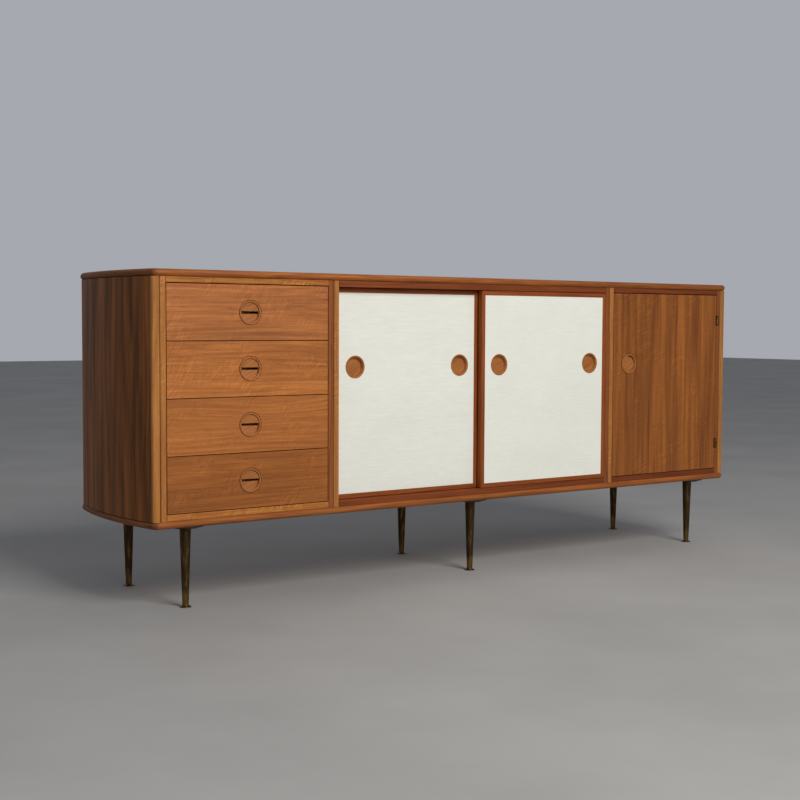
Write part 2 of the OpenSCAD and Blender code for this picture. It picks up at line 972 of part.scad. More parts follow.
// Mitred frame in one piece, with a rebate for the panel and a tongue above and below
module slider_frame() {
    opening_w = slider_w - 2 * frame_w;
    opening_h = slider_h - 2 * frame_w;
    difference() {
        cube([slider_w, slider_t, slider_h]);
        translate([frame_w, -over, frame_w]) cube([opening_w, slider_t + 2 * over, opening_h]);
        translate([
            frame_w - frame_rebate,
            slider_t - panel_back_recess - panel_flange_t,
            frame_w - frame_rebate
        ])
            cube([
                opening_w + 2 * frame_rebate,
                panel_flange_t + panel_back_recess + over,
                opening_h + 2 * frame_rebate
            ]);
    }
    translate([tongue_inset, tongue_y, -lower_tongue_h])
        cube([slider_w - 2 * tongue_inset, tongue_t, lower_tongue_h]);
    translate([tongue_inset, tongue_y, slider_h])
        cube([slider_w - 2 * tongue_inset, tongue_t, upper_tongue_h]);
}

// Places the children at the middles of both pulls of a sliding door
module at_slider_pulls() {
    for (x = [slider_pull_inset, slider_w - slider_pull_inset])
        translate([x, cloth_recess, pull_z - slider_z0]) children();
}

module slider_panel() {
    field_y = cloth_recess + cloth_t;
    flange_y = slider_t - panel_back_recess - panel_flange_t;
    flange_out = frame_rebate - panel_clear;
    difference() {
        union() {
            translate([frame_w + panel_clear, field_y, frame_w + panel_clear])
                cube([
                    slider_w - 2 * (frame_w + panel_clear),
                    flange_y + panel_flange_t - field_y,
                    slider_h - 2 * (frame_w + panel_clear)
                ]);
            translate([frame_w - flange_out, flange_y, frame_w - flange_out])
                cube([
                    slider_w - 2 * (frame_w - flange_out),
                    panel_flange_t,
                    slider_h - 2 * (frame_w - flange_out)
                ]);
        }
        at_slider_pulls() pull_pocket(dish_depth);
    }
}

module slider_cloth() {
    difference() {
        translate([frame_w, cloth_recess, frame_w])
            cube([slider_w - 2 * frame_w, cloth_t, slider_h - 2 * frame_w]);
        at_slider_pulls() pull_pocket(dish_depth);
    }
}

module slider_pulls() {
    at_slider_pulls() dish_pull();
}

module left_slider_frame() { color("brown") in_left_track() slider_frame(); }
module left_slider_panel() { color("burlywood") in_left_track() slider_panel(); }
module left_slider_cloth() { color("ivory") in_left_track() slider_cloth(); }
module left_slider_pulls() { color("sienna") in_left_track() slider_pulls(); }
module right_slider_frame() { color("brown") in_right_track() slider_frame(); }
module right_slider_panel() { color("burlywood") in_right_track() slider_panel(); }
module right_slider_cloth() { color("ivory") in_right_track() slider_cloth(); }
module right_slider_pulls() { color("sienna") in_right_track() slider_pulls(); }

// ---- Hinged door ----

module at_hinges() {
    for (z = hinge_zs)
        translate([hinge_x, hinge_y, z]) children();
}

// Room for the knuckles and finials in the wood on both sides
module hinge_scallop() {
    l = knuckle_l + 2 * (finial_h + scallop_clear);
    translate([0, 0, -l / 2]) cylinder(h = l, r = scallop_r);
}

// The middle third of the knuckles belongs to the door, the outer thirds to the case
module knuckle(z0, z1, bore_r) {
    translate([0, 0, z0])
        difference() {
            cylinder(h = z1 - z0, r = knuckle_r);
            translate([0, 0, -over]) cylinder(h = z1 - z0 + 2 * over, r = bore_r);
        }
}

// Leaf beside the pin, cut away where the other leaf's knuckle turns
module leaf(x0, cut_z0, cut_z1) {
    difference() {
        translate([x0, 0, -knuckle_l / 2]) cube([leaf_t, leaf_d, knuckle_l]);
        translate([0, 0, cut_z0]) cylinder(h = cut_z1 - cut_z0, r = scallop_r);
        translate([0, 0, -knuckle_l]) cylinder(h = 2 * knuckle_l, r = hinge_pin_r + pin_hole_clear);
    }
}

module hinge_frame_leaves() {
    third = knuckle_l / 6;
    color("dimgray")
        at_hinges() {
            knuckle(-knuckle_l / 2, -third - knuckle_gap, hinge_pin_r);
            knuckle(third + knuckle_gap, knuckle_l / 2, hinge_pin_r);
            leaf(frame_leaf_x, -third - knuckle_gap, third + knuckle_gap);
        }
}

module hinge_door_leaves() {
    third = knuckle_l / 6;
    color("dimgray")
        at_hinges() {
            knuckle(-third, third, hinge_pin_r + hinge_clear);
            difference() {
                leaf(door_leaf_x, third, knuckle_l);
                translate([0, 0, -knuckle_l]) cylinder(h = knuckle_l - third, r = scallop_r);
            }
        }
}

// Pins with a domed finial at each end
module hinge_pins() {
    color("dimgray")
        at_hinges() {
            translate([0, 0, -knuckle_l / 2]) cylinder(h = knuckle_l, r = hinge_pin_r);
            for (turn = [0, 180])
                rotate([turn, 0, 0])
                    translate([0, 0, knuckle_l / 2])
                        rotate_extrude()
                            intersection() {
                                square([knuckle_r, finial_h]);
                                translate([0, finial_h - finial_r]) circle(finial_r);
                            }
        }
}

module hinged_door_panel() {
    color("peru")
        difference() {
            translate([door_x0, front_face_y, door_z0])
                cube([door_x1 - door_x0, front_t, door_z1 - door_z0]);
            translate([door_x0 + door_pull_inset, front_face_y, door_pull_z])
                pull_pocket(bowl_depth);
            at_hinges() {
                hinge_scallop();
                translate([door_leaf_x, 0, -knuckle_l / 2])
                    cube([leaf_t + leaf_slot_clear, leaf_d, knuckle_l]);
            }
        }
}

// The lip covers the half of the bowl nearer the free edge
module hinged_door_pull() {
    color("sienna")
        translate([door_x0 + door_pull_inset, front_face_y, door_pull_z])
            rotate([0, -90, 0]) lipped_pull();
}

// Wooden stop above the free edge of the door
module door_catch() {
    color("burlywood")
        translate([door_x0 + stop_inset, front_back_y + stop_clear, side_top_z - stop_h])
            cube([stop_w, stop_d, stop_h]);
}

// ---- The sideboard ----

top_panel();
top_lipping();
bottom_panel();
bottom_lipping();
end_panel_left();
end_panel_right();
front_corner_posts();
rear_corner_posts();
drawer_bay_side_left();
drawer_bay_side_right();
centre_bay_side_left();
centre_bay_side_right();
door_bay_side_left();
door_bay_side_right();
side_bay_tops();
centre_bay_top();
side_bay_floors();
centre_bay_floor();
back_panel();
back_screws();
drawer_runners();
centre_shelf();
door_bay_shelf();
shelf_pins();
front_legs();
rear_legs();
leg_feet();
leg_plates();
leg_bosses();
leg_screws();
hinge_frame_leaves();
hinge_pins();
door_catch();
drawer_1_front();
drawer_1_box();
drawer_1_bottom();
drawer_1_pull();
drawer_2_front();
drawer_2_box();
drawer_2_bottom();
drawer_2_pull();
drawer_3_front();
drawer_3_box();
drawer_3_bottom();
drawer_3_pull();
drawer_4_front();
drawer_4_box();
drawer_4_bottom();
drawer_4_pull();
left_slider_frame();
left_slider_panel();
left_slider_cloth();
left_slider_pulls();
right_slider_frame();
right_slider_panel();
right_slider_cloth();
right_slider_pulls();
hinged_door_panel();
hinged_door_pull();
hinge_door_leaves();
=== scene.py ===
"""Looks of a teak sideboard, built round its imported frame: finishes, turned and joined pieces, studio."""

import json
import logging
import math
from dataclasses import dataclass, replace
from enum import Enum
from functools import partial
from typing import Callable, ClassVar, Sequence

import bpy
from mathutils import Matrix, Vector

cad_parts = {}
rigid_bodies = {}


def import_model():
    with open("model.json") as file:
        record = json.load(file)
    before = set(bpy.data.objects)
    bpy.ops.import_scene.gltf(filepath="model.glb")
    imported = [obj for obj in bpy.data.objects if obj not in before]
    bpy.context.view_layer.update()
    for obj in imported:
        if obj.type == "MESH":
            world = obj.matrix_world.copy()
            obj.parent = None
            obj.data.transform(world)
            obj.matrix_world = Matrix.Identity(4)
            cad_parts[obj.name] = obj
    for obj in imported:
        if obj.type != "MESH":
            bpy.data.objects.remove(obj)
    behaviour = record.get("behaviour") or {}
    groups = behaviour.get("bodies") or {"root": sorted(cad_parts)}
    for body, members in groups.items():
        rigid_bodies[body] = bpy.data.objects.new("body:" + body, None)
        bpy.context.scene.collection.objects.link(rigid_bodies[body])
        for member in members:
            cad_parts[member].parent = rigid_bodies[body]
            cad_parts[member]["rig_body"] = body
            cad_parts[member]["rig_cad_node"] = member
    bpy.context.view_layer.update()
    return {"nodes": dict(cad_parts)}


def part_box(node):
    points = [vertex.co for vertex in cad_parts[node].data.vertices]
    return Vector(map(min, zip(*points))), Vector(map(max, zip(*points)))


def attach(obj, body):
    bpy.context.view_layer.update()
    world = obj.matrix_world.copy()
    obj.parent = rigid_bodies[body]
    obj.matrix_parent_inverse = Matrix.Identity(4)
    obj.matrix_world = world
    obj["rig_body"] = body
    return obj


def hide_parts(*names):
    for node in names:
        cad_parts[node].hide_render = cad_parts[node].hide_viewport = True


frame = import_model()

Tree, Socket, Shader = bpy.types.NodeTree, bpy.types.NodeSocket, bpy.types.Node
Piece = bpy.types.Object

log = logging.getLogger("sideboard")

MM = 0.001
# How far one seed moves a pattern, in blobs
SEED_STEP = 7.3
# Strength of each finer octave of noise over the one before it
OCTAVE_STRENGTH = 0.58
# Edges that turn more than the first are rounded, and those that turn less than the second look smooth
EASED_DEG = 38
SMOOTH_DEG = 32
# Points closer than this are one point, and faces that turn less than this are one face
WELD_MM = 0.005
FLAT_DEG = 0.05
# Points within this of a face lie on it
TOUCH_MM = 0.01
# Half of the length of a cutter that goes right through a cloth
PUNCH_MM = 8.0


class Axis(Enum):
    """Direction that the grain of a board runs in."""

    X = 0
    Y = 1
    Z = 2


class Lip(Enum):
    """Side of a pull's bowl that its finger lip covers, as the turn from the upper half in degrees."""

    ABOVE = 0
    LEFT = 90


# ---- Nodes and colours ----


def linear(hex_colour: str) -> tuple[float, float, float, float]:
    """Turns an sRGB hex colour to the linear colour that shaders use.

    Args:
        hex_colour: A hash and six hex digits.

    Returns:
        Red, green, blue and alpha, each from 0 to 1.
    """
    channels = [int(hex_colour[i : i + 2], 16) / 255 for i in (1, 3, 5)]
    return (*[c / 12.92 if c <= 0.04045 else ((c + 0.055) / 1.055) ** 2.4 for c in channels], 1.0)


def add_node(
    tree: Tree,
    kind: str,
    inputs: dict[object, object] | None = None,
    output: int | str = 0,
    stops: Sequence[tuple[float, str]] = (),
    **settings: object,
) -> Socket:
    """Adds a node with its settings, and links or fills its inputs.

    Args:
        tree: The node tree to add to.
        kind: The node's type name, without the ShaderNode prefix.
        inputs: Input names or indices, each with a value or the socket that feeds it.
        output: The output to return.
        stops: Position and hex colour of each stop, for a node with a colour ramp.
        settings: Attributes to set on the node.

    Returns:
        The node's output socket.
    """
    node = tree.nodes.new("ShaderNode" + kind)
    for key, value in settings.items():
        setattr(node, key, value)
    for key, value in (inputs or {}).items():
        if isinstance(value, Socket):
            tree.links.new(value, node.inputs[key])
        else:
            node.inputs[key].default_value = value
    for i, (position, colour) in enumerate(stops):
        elements = node.color_ramp.elements
        element = elements[i] if i < 2 else elements.new(position)
        element.position = position
        element.color = linear(colour)
    return node.outputs[output]


# ---- Finishes ----


@dataclass(frozen=True)
class Finish:
    """A surface finish, made once as a material and shared by the pieces that have it."""

    name: str
    roughness: float = 0.5

    def material(self) -> bpy.types.Material:
        """Returns this finish's material, making it the first time."""
        title = f"{self.name}_finish"
        existing = bpy.data.materials.get(title)
        if existing:
            return existing
        material = bpy.data.materials.new(title)
        material.use_nodes = True
        tree = material.node_tree
        shader = tree.nodes["Principled BSDF"]
        shader.inputs["Roughness"].default_value = self.roughness
        self.dress(tree, shader, add_node(tree, "TexCoord", output="Object"))
        return material

    def dress(self, tree: Tree, shader: Shader, place: Socket) -> None:
        """Fills the material's node tree.

        Args:
            tree: The material's node tree.
            shader: Its Principled shader.
            place: The Object coordinates, in metres.
        """
        raise NotImplementedError

    @staticmethod
    def blotches(
        tree: Tree,
        place: Socket,
        sizes_mm: Sequence[float],
        detail: float = 2.0,
        seed: float = 0.0,
        output: str = "Fac",
    ) -> Socket:
        """Makes noise whose blobs have real sizes.

        Args:
            tree: The material's node tree.
            place: The coordinates, in metres.
            sizes_mm: Size of the blobs along X, Y and Z, in millimetres.
            detail: Octaves of finer noise.
            seed: Moves the pattern to another place.
            output: Fac for a value or Color for three.

        Returns:
            The noise's output socket.
        """
        scale = [1 / (size * MM) for size in sizes_mm]
        inputs = {"Vector": place, "Scale": scale, "Location": [seed * SEED_STEP] * 3}
        stretched = add_node(tree, "Mapping", inputs)
        inputs = {"Vector": stretched, "Scale": 1.0, "Detail": detail, "Roughness": OCTAVE_STRENGTH}
        return add_node(tree, "TexNoise", inputs, output)

    @staticmethod
    def relief(
        tree: Tree,
        shader: Shader,
        height: Socket,
        depth_mm: float,
        strength: float,
    ) -> None:
        """Feeds a height into the shader's normal.

        Args:
            tree: The material's node tree.
            shader: Its Principled shader.
            height: The height, from 0 to 1.
            depth_mm: Depth of a full step, in millimetres.
            strength: How much of the relief shows.
        """
        bump = add_node(tree, "Bump", {"Height": height, "Distance": depth_mm * MM, "Strength": strength})
        tree.links.new(bump, shader.inputs["Normal"])


@dataclass(frozen=True)
class OiledWood(Finish):
    """Sawn or sliced wood rubbed with oil: long soft streaks, growth lines and short dark pores.

    The eye gets a warm satin surface whose colour drifts along each board.
    """

    roughness: float = 0.46
    light: str = "#B5722F"
    dark: str = "#8A4C1C"
    vein: str = "#4F270D"
    grain: Axis = Axis.X
    tilt_deg: float = 0.0
    streak_mm: float = 13.0
    streak_length_mm: float = 480.0
    streak_detail: float = 5.0
    growth_mm: float = 12.0
    growth_strength: float = 0.3
    wander_mm: float = 24.0
    pore_strength: float = 0.4
    tone: float = 0.14
    spread: float = 0.2
    fleck: float = 0.0
    fleck_deg: float = 58.0
    leaf_mm: float = 0.0
    leaf_tone: float = 0.16
    # Painted shade: brightness left at the right end of the case, where less light falls
    painted_shade_right: float = 1.0
    seed: float = 0.0
    # Sizes of the patterns along and across the grain
    DRIFT_MM: ClassVar = (620, 150)
    UNEVEN_MM: ClassVar = (260, 34)
    FADE_MM: ClassVar = (280, 50)
    PORE_MM: ClassVar = (30, 1.4)
    PATCH_MM: ClassVar = (800, 120)
    # Sizes of the rays and of their groups along X, Y and Z
    RAY_MM: ClassVar = (26, 26, 3.2)
    RAY_GROUP_MM: ClassVar = (90, 90, 55)
    # Radians by which a growth line strays at the most
    STRAY: ClassVar = 13.0
    OIL_IOR: ClassVar = 1.47
    OIL_GLOSS: ClassVar = 0.22

    def sizes(self, along_mm: float, across_mm: float) -> list[float]:
        """Blob sizes for noise that is stretched along the grain.

        Args:
            along_mm: Size along the grain.
            across_mm: Size across it.

        Returns:
            Sizes along X, Y and Z.
        """
        return [along_mm if i == self.grain.value else across_mm for i in range(3)]

    def dress(self, tree: Tree, shader: Shader, place: Socket) -> None:
        """Fills the material's node tree; see Finish.dress."""
        add = partial(add_node, tree)
        blotches = partial(self.blotches, tree)
        across = self.sizes(0.0, 1.0)
        value = None
        if self.tilt_deg:
            place = add("Mapping", {"Vector": place, "Rotation": (0.0, math.radians(self.tilt_deg), 0.0)})
        if self.leaf_mm:
            # Veneer is laid in leaves of one width, so tone and pattern step at each seam
            position = add("VectorMath", {0: place, 1: across}, "Value", operation="DOT_PRODUCT")
            turn = add("Math", {0: position, 1: self.leaf_mm * MM}, operation="DIVIDE")
            leaf = add("Math", {0: turn}, operation="FLOOR")
            shift = add("TexWhiteNoise", {"W": leaf}, "Color", noise_dimensions="1D")
            place = add("VectorMath", {0: shift, 1: (3.0,) * 3, 2: place}, operation="MULTIPLY_ADD")
            chance = add("TexWhiteNoise", {"W": leaf}, "Value", noise_dimensions="1D")
            bounds = {"Value": chance, "To Min": 1 - self.leaf_tone, "To Max": 1 + self.leaf_tone * 0.6}
            value = add("MapRange", bounds)

        # Slow wandering of the grain bends the lines into long arches
        drift = blotches(place, self.sizes(*self.DRIFT_MM), 1.0, self.seed + 1, "Color")
        reach = [side * self.wander_mm * MM * 2 for side in across]
        bent = add("VectorMath", {0: drift, 1: reach, 2: place}, operation="MULTIPLY_ADD")

        streak = self.sizes(self.streak_length_mm, self.streak_mm)
        streaks = blotches(bent, streak, self.streak_detail, self.seed)
        stops = [(0.5 - self.spread, self.dark), (0.5 + self.spread, self.light)]
        colour = add("ValToRGB", {"Fac": streaks}, stops=stops)

        # Growth lines are a soft wave across the grain, broken up so that it never looks ruled
        position = add("VectorMath", {0: bent, 1: across}, "Value", operation="DOT_PRODUCT")
        uneven = blotches(bent, self.sizes(*self.UNEVEN_MM), 2.0, self.seed + 2)
        turns = add("Math", {0: uneven, 1: self.STRAY}, operation="MULTIPLY")
        pitch = math.tau / (self.growth_mm * MM)
        phase = add("Math", {0: position, 1: pitch, 2: turns}, operation="MULTIPLY_ADD")
        wave = add("Math", {0: phase}, operation="SINE")
        fade = blotches(place, self.sizes(*self.FADE_MM), 1.0, self.seed + 3)
        limits = {"From Min": 0.4, "From Max": 0.62, "To Max": self.growth_strength}
        shown = add("MapRange", {"Value": fade, **limits})
        crest = add("MapRange", {"Value": wave, "From Min": 0.0, "From Max": 1.0})
        lines = add("Math", {0: crest, 1: shown}, operation="MULTIPLY")
        colour = add("Mix", {0: lines, 6: colour, 7: linear(self.vein)}, 2, data_type="RGBA")

        # Pores are 0.3 mm wide; they are drawn 1.4 mm wide so that they still show from a few metres
        pores = blotches(bent, self.sizes(*self.PORE_MM), 2.0, self.seed + 4)
        dashes = add("MapRange", {"Value": pores, "From Min": 0.54, "From Max": 0.74})
        depth = add("Math", {0: dashes, 1: self.pore_strength}, operation="MULTIPLY")
        colour = add("Mix", {0: depth, 6: colour, 7: linear(self.vein)}, 2, data_type="RGBA")

        # Broad light and dark patches, as from board to board
        patches = blotches(place, self.sizes(*self.PATCH_MM), 2.0, self.seed + 5)
        limits = {"From Min": 0.3, "From Max": 0.7, "To Min": 1 - self.tone, "To Max": 1 + self.tone}
        patch = add("MapRange", {"Value": patches, **limits})
        if value:
            patch = add("Math", {0: patch, 1: value}, operation="MULTIPLY")
        if self.painted_shade_right != 1.0:
            # Painted shade: the colour darkens from the left towards the right end, standing in for the light
            # that falls off across the case
            along = add("VectorMath", {0: place, 1: (1.0, 0.0, 0.0)}, "Value", operation="DOT_PRODUCT")
            reach = {"From Min": 0.1, "From Max": 0.95, "To Min": 1.0, "To Max": self.painted_shade_right}
            painted_falloff = add("MapRange", {"Value": along, **reach})
            patch = add("Math", {0: painted_falloff, 1: patch}, operation="MULTIPLY")
        if self.fleck:
            # Rays of the wood catch the light as short slanting flecks, 3 mm wide, in scattered groups
            slanted = add("Mapping", {"Vector": place, "Rotation": (0.0, math.radians(self.fleck_deg), 0.0)})
            rays = blotches(slanted, self.RAY_MM, 1.0, self.seed + 6)
            groups = blotches(place, self.RAY_GROUP_MM, 1.0, self.seed + 7)
            ray = add("MapRange", {"Value": rays, "From Min": 0.46, "From Max": 0.66, "To Min": -0.3})
            limits = {"From Min": 0.44, "From Max": 0.62, "To Max": self.fleck}
            group = add("MapRange", {"Value": groups, **limits})
            patch = add("Math", {0: ray, 1: group, 2: patch}, operation="MULTIPLY_ADD")
        toned = add("HueSaturation", {"Color": colour, "Value": patch})
        tree.links.new(toned, shader.inputs["Base Color"])

        limits = {"To Min": self.roughness + 0.07, "To Max": self.roughness - 0.05}
        rough = add("MapRange", {"Value": streaks, "From Min": 0.3, "From Max": 0.7, **limits})
        rough = add("Math", {0: dashes, 1: 0.12, 2: rough}, operation="MULTIPLY_ADD")
        tree.links.new(rough, shader.inputs["Roughness"])
        shader.inputs["IOR"].default_value = self.OIL_IOR
        shader.inputs["Specular IOR Level"].default_value = self.OIL_GLOSS
        height = add("Math", {0: dashes, 1: -0.8, 2: streaks}, operation="MULTIPLY_ADD")
        self.relief(tree, shader, height, 0.25, 0.35)


@dataclass(frozen=True)
class Grasscloth(Finish):
    """Paper-backed cloth of flat grass ribbons with fine warp threads, painted off-white.

    The eye gets a matt, nearly white surface ruled with fine uneven lines along X.
    """

    roughness: float = 0.85
    light: str = "#E2E3DA"
    dark: str = "#DADBD0"
    ribbon_mm: float = 1.3
    warp_mm: float = 8.0

    def dress(self, tree: Tree, shader: Shader, place: Socket) -> None:
        """Fills the material's node tree; see Finish.dress."""
        add = partial(add_node, tree)
        # Ribbons are 1 to 3 mm wide and run for a hand's width before a knot or a new blade
        ribbons = self.blotches(tree, place, (150, 50, self.ribbon_mm), 3.0)
        slubs = self.blotches(tree, place, (28, 50, 4.5), 2.0, 4.0)
        both = add("Math", {0: ribbons, 1: slubs}, operation="ADD")
        half = add("Math", {0: both, 1: 0.5}, operation="MULTIPLY")
        colour = add("ValToRGB", {"Fac": half}, stops=[(0.34, self.dark), (0.62, self.light)])
        clouds = self.blotches(tree, place, (160, 160, 120), 2.0, 9.0)
        limits = {"From Min": 0.3, "From Max": 0.7, "To Min": 0.975, "To Max": 1.015}
        shade = add("MapRange", {"Value": clouds, **limits})
        across = add("VectorMath", {0: place, 1: (1.0, 0.0, 0.0)}, "Value", operation="DOT_PRODUCT")
        phase = add("Math", {0: across, 1: math.tau / (self.warp_mm * MM)}, operation="MULTIPLY")
        warp = add("Math", {0: phase}, operation="SINE")
        thread = add("MapRange", {"Value": warp, "From Min": 0.8, "From Max": 1.0})
        faint = add("Math", {0: thread, 1: -0.015, 2: shade}, operation="MULTIPLY_ADD")
        toned = add("HueSaturation", {"Color": colour, "Value": faint})
        tree.links.new(toned, shader.inputs["Base Color"])
        shader.inputs["IOR"].default_value = 1.45
        shader.inputs["Sheen Weight"].default_value = 0.15
        height = add("Math", {0: thread, 1: -0.3, 2: half}, operation="MULTIPLY_ADD")
        self.relief(tree, shader, height, 0.5, 0.5)


@dataclass(frozen=True)
class AgedMetal(Finish):
    """Bare metal that has darkened with age, with brighter places where it has been rubbed.

    The eye gets a dull glow broken by brown patina that runs along the piece.
    """

    roughness: float = 0.42
    bright: str = "#9A7B45"
    patina: str = "#2C2216"
    spot_mm: tuple[float, float, float] = (7.0, 7.0, 34.0)
    cover: float = 0.5
    rubbed_mm: float = 0.0

    def dress(self, tree: Tree, shader: Shader, place: Socket) -> None:
        """Fills the material's node tree; see Finish.dress."""
        add = partial(add_node, tree)
        patches = self.blotches(tree, place, self.spot_mm, 4.0)
        fine = self.blotches(tree, place, (1.6, 1.6, 3.0), 2.0, 3.0)
        mixed = add("Math", {0: fine, 1: 0.25, 2: patches}, operation="MULTIPLY_ADD")
        if self.rubbed_mm:
            # Shoes and brooms rub the lowest part bright
            height = add("VectorMath", {0: place, 1: (0.0, 0.0, 1.0)}, "Value", operation="DOT_PRODUCT")
            reach = {"From Min": self.rubbed_mm * MM, "From Max": self.rubbed_mm * MM * 0.6, "To Max": 0.2}
            rubbed = add("MapRange", {"Value": height, **reach})
            mixed = add("Math", {0: mixed, 1: rubbed}, operation="ADD")
        edges = {"From Min": self.cover, "From Max": self.cover + 0.24}
        worn = add("MapRange", {"Value": mixed, **edges})
        colour = add("ValToRGB", {"Fac": worn}, stops=[(0.0, self.patina), (1.0, self.bright)])
        tree.links.new(colour, shader.inputs["Base Color"])
        shader.inputs["Metallic"].default_value = 1.0
        rough = {"Value": worn, "To Min": self.roughness + 0.16, "To Max": self.roughness - 0.1}
        tree.links.new(add("MapRange", rough), shader.inputs["Roughness"])
        self.relief(tree, shader, mixed, 0.08, 0.4)


@dataclass(frozen=True)
class Enamel(Finish):
    """Stoved black enamel on pressed steel: an even coat with a faint orange-peel and a few dull marks."""

    roughness: float = 0.38
    coat: str = "#171513"
    dust: str = "#2A2723"

    def dress(self, tree: Tree, shader: Shader, place: Socket) -> None:
        """Fills the material's node tree; see Finish.dress."""
        marks = self.blotches(tree, place, (18, 18, 18), 4.0)
        colour = add_node(tree, "ValToRGB", {"Fac": marks}, stops=[(0.42, self.coat), (0.68, self.dust)])
        tree.links.new(colour, shader.inputs["Base Color"])
        shader.inputs["IOR"].default_value = 1.5
        rough = {"Value": marks, "To Min": self.roughness - 0.06, "To Max": self.roughness + 0.2}
        tree.links.new(add_node(tree, "MapRange", rough), shader.inputs["Roughness"])
        self.relief(tree, shader, self.blotches(tree, place, (1.5,) * 3, 1.0), 0.05, 0.3)


@dataclass(frozen=True)
class StudioPaint(Finish):
    """Matt paint of the studio floor, with very faint clouds."""

    roughness: float = 0.8
    light: str = "#A5A4A2"
    dark: str = "#9B9A98"

    def dress(self, tree: Tree, shader: Shader, place: Socket) -> None:
        """Fills the material's node tree; see Finish.dress."""
        clouds = self.blotches(tree, place, (700, 700, 700), 4.0)
        colour = add_node(tree, "ValToRGB", {"Fac": clouds}, stops=[(0.35, self.dark), (0.65, self.light)])
        tree.links.new(colour, shader.inputs["Base Color"])


SLAB_TEAK = OiledWood("teak_veneer_slab", light="#A9662C", dark="#83481D", seed=1)
# Painted shade: the lipping, the red uprights and the red boards darken towards the right end, where less
# light falls
LIPPING_TEAK = OiledWood(
    "teak_lipping", light="#A7632D", dark="#7C421B", growth_strength=0.12, streak_mm=5, streak_length_mm=160,
    tone=0.24, painted_shade_right=0.72, seed=2,
)
# Painted shade: the bowed ends are a darker copy of the front lipping, for the ends that face away from the
# light; their grain really runs along Y
LIPPING_TEAK_ENDS_SHADED = OiledWood(
    "teak_lipping_ends_shaded", grain=Axis.Y, light="#8A5126", dark="#643615", growth_strength=0.12, streak_mm=5,
    streak_length_mm=160, tone=0.24, seed=3,
)
END_TEAK = OiledWood(
    "teak_veneer_ends", grain=Axis.Z, light="#985A24", dark="#5E360F", streak_mm=24, streak_detail=3.5,
    spread=0.16, leaf_mm=128, leaf_tone=0.1, seed=4,
)
POST_TEAK = OiledWood(
    "teak_posts", grain=Axis.Z, light="#B2783C", dark="#885426", growth_strength=0.1, streak_mm=5, seed=5
)
GOLD_UPRIGHTS = OiledWood(
    "teak_uprights_gold", grain=Axis.Z, light="#B2763C", dark="#895225", growth_strength=0.1, streak_mm=5,
    fleck=0.25, fleck_deg=20, seed=6,
)
RED_UPRIGHTS = OiledWood(
    "teak_uprights_red", grain=Axis.Z, light="#98592C", dark="#703B19", growth_strength=0.1, streak_mm=5,
    painted_shade_right=0.88, seed=18,
)
GOLD_BOARDS = OiledWood(
    "teak_bay_boards_gold", light="#BA7A38", dark="#8E5122", growth_strength=0.1, streak_mm=4,
    streak_length_mm=200, tone=0.24, fleck=0.4, seed=7,
)
RED_BOARDS = OiledWood(
    "teak_bay_boards_red", light="#86441E", dark="#662E13", growth_strength=0.1, streak_mm=4,
    painted_shade_right=0.74, seed=19,
)
BACK_PLY = OiledWood(
    "beech_ply_back", light="#C49A6B", dark="#A97F52", vein="#8A6238", growth_mm=26,
    growth_strength=0.2, seed=8,
)
BEECH = OiledWood(
    "beech_planed", light="#D0A878", dark="#B98F60", vein="#9A7146", growth_strength=0.1, wander_mm=8, seed=9
)
SHELF_TEAK = OiledWood("shelf_veneer", light="#B9854F", dark="#96663A", seed=10)
DRAWER_TEAK = OiledWood(
    "teak_drawer_fronts", light="#BA7538", dark="#8E5124", growth_mm=13, growth_strength=0.16, wander_mm=30,
    streak_mm=6, streak_length_mm=330, tone=0.2, spread=0.24, fleck=0.2, seed=11,
)
# Light and dark tone of each drawer's front, from the top one down; besides each drawer's own tone, the
# fronts step darker downward as painted shade, where less light reaches the lower drawers
DRAWER_TONES_SHADED_DOWNWARD = (
    ("#BB7640", "#8E512B"), ("#BA753A", "#8D5026"), ("#B37036", "#884C23"), ("#AB6830", "#80471F"),
)
BOX_WOOD = OiledWood(
    "drawer_box_wood", grain=Axis.Y, light="#CBA273", dark="#B1885A", vein="#8F683E",
    growth_strength=0.1, seed=12,
)
PLY_BOTTOM = OiledWood(
    "drawer_bottom_ply", light="#C9A173", dark="#B58D5F", vein="#94703F", growth_mm=22,
    growth_strength=0.2, seed=13,
)
TURNED_TEAK = OiledWood(
    "turned_teak", light="#B06F3A", dark="#8B5429", tilt_deg=24, streak_mm=4, streak_length_mm=80,
    growth_mm=5, growth_strength=0.14, wander_mm=5, tone=0.1, seed=14,
)
RED_RAILS = OiledWood(
    "red_teak_rails", light="#9A5222", dark="#733513", vein="#421C0A", growth_strength=0.1,
    streak_mm=4, seed=15,
)
RED_STILES = OiledWood(
    "red_teak_stiles", grain=Axis.Z, light="#9A5222", dark="#733513", vein="#421C0A", growth_strength=0.1,
    streak_mm=4, seed=16,
)
DOOR_TEAK = OiledWood(
    "teak_veneer_door", grain=Axis.Z, light="#965A26", dark="#693816", growth_mm=19, growth_strength=0.06,
    wander_mm=8, streak_mm=17, streak_length_mm=430, streak_detail=3.0, pore_strength=0.25, fleck=0.24,
    fleck_deg=28, leaf_mm=74, leaf_tone=0.08, seed=17,
)
CLOTH = Grasscloth("painted_grasscloth")
BRASS = AgedMetal("aged_brass_legs", bright="#7E6439", patina="#453420", cover=0.64, rubbed_mm=45.0)
BRONZED = AgedMetal("bronzed_brass_hinges", bright="#80673C", patina="#2E2416", spot_mm=(4.0, 4.0, 6.0))
PIN_BRASS = AgedMetal("brass_pins", bright="#B0914F", patina="#6A4F28", spot_mm=(5.0, 5.0, 5.0))
SCREW_STEEL = AgedMetal(
    "zinc_plated_screws", bright="#B4B4B0", patina="#77756F", spot_mm=(2.0, 2.0, 2.0), roughness=0.36
)
BLACK_ENAMEL = Enamel("black_enamel_plates")


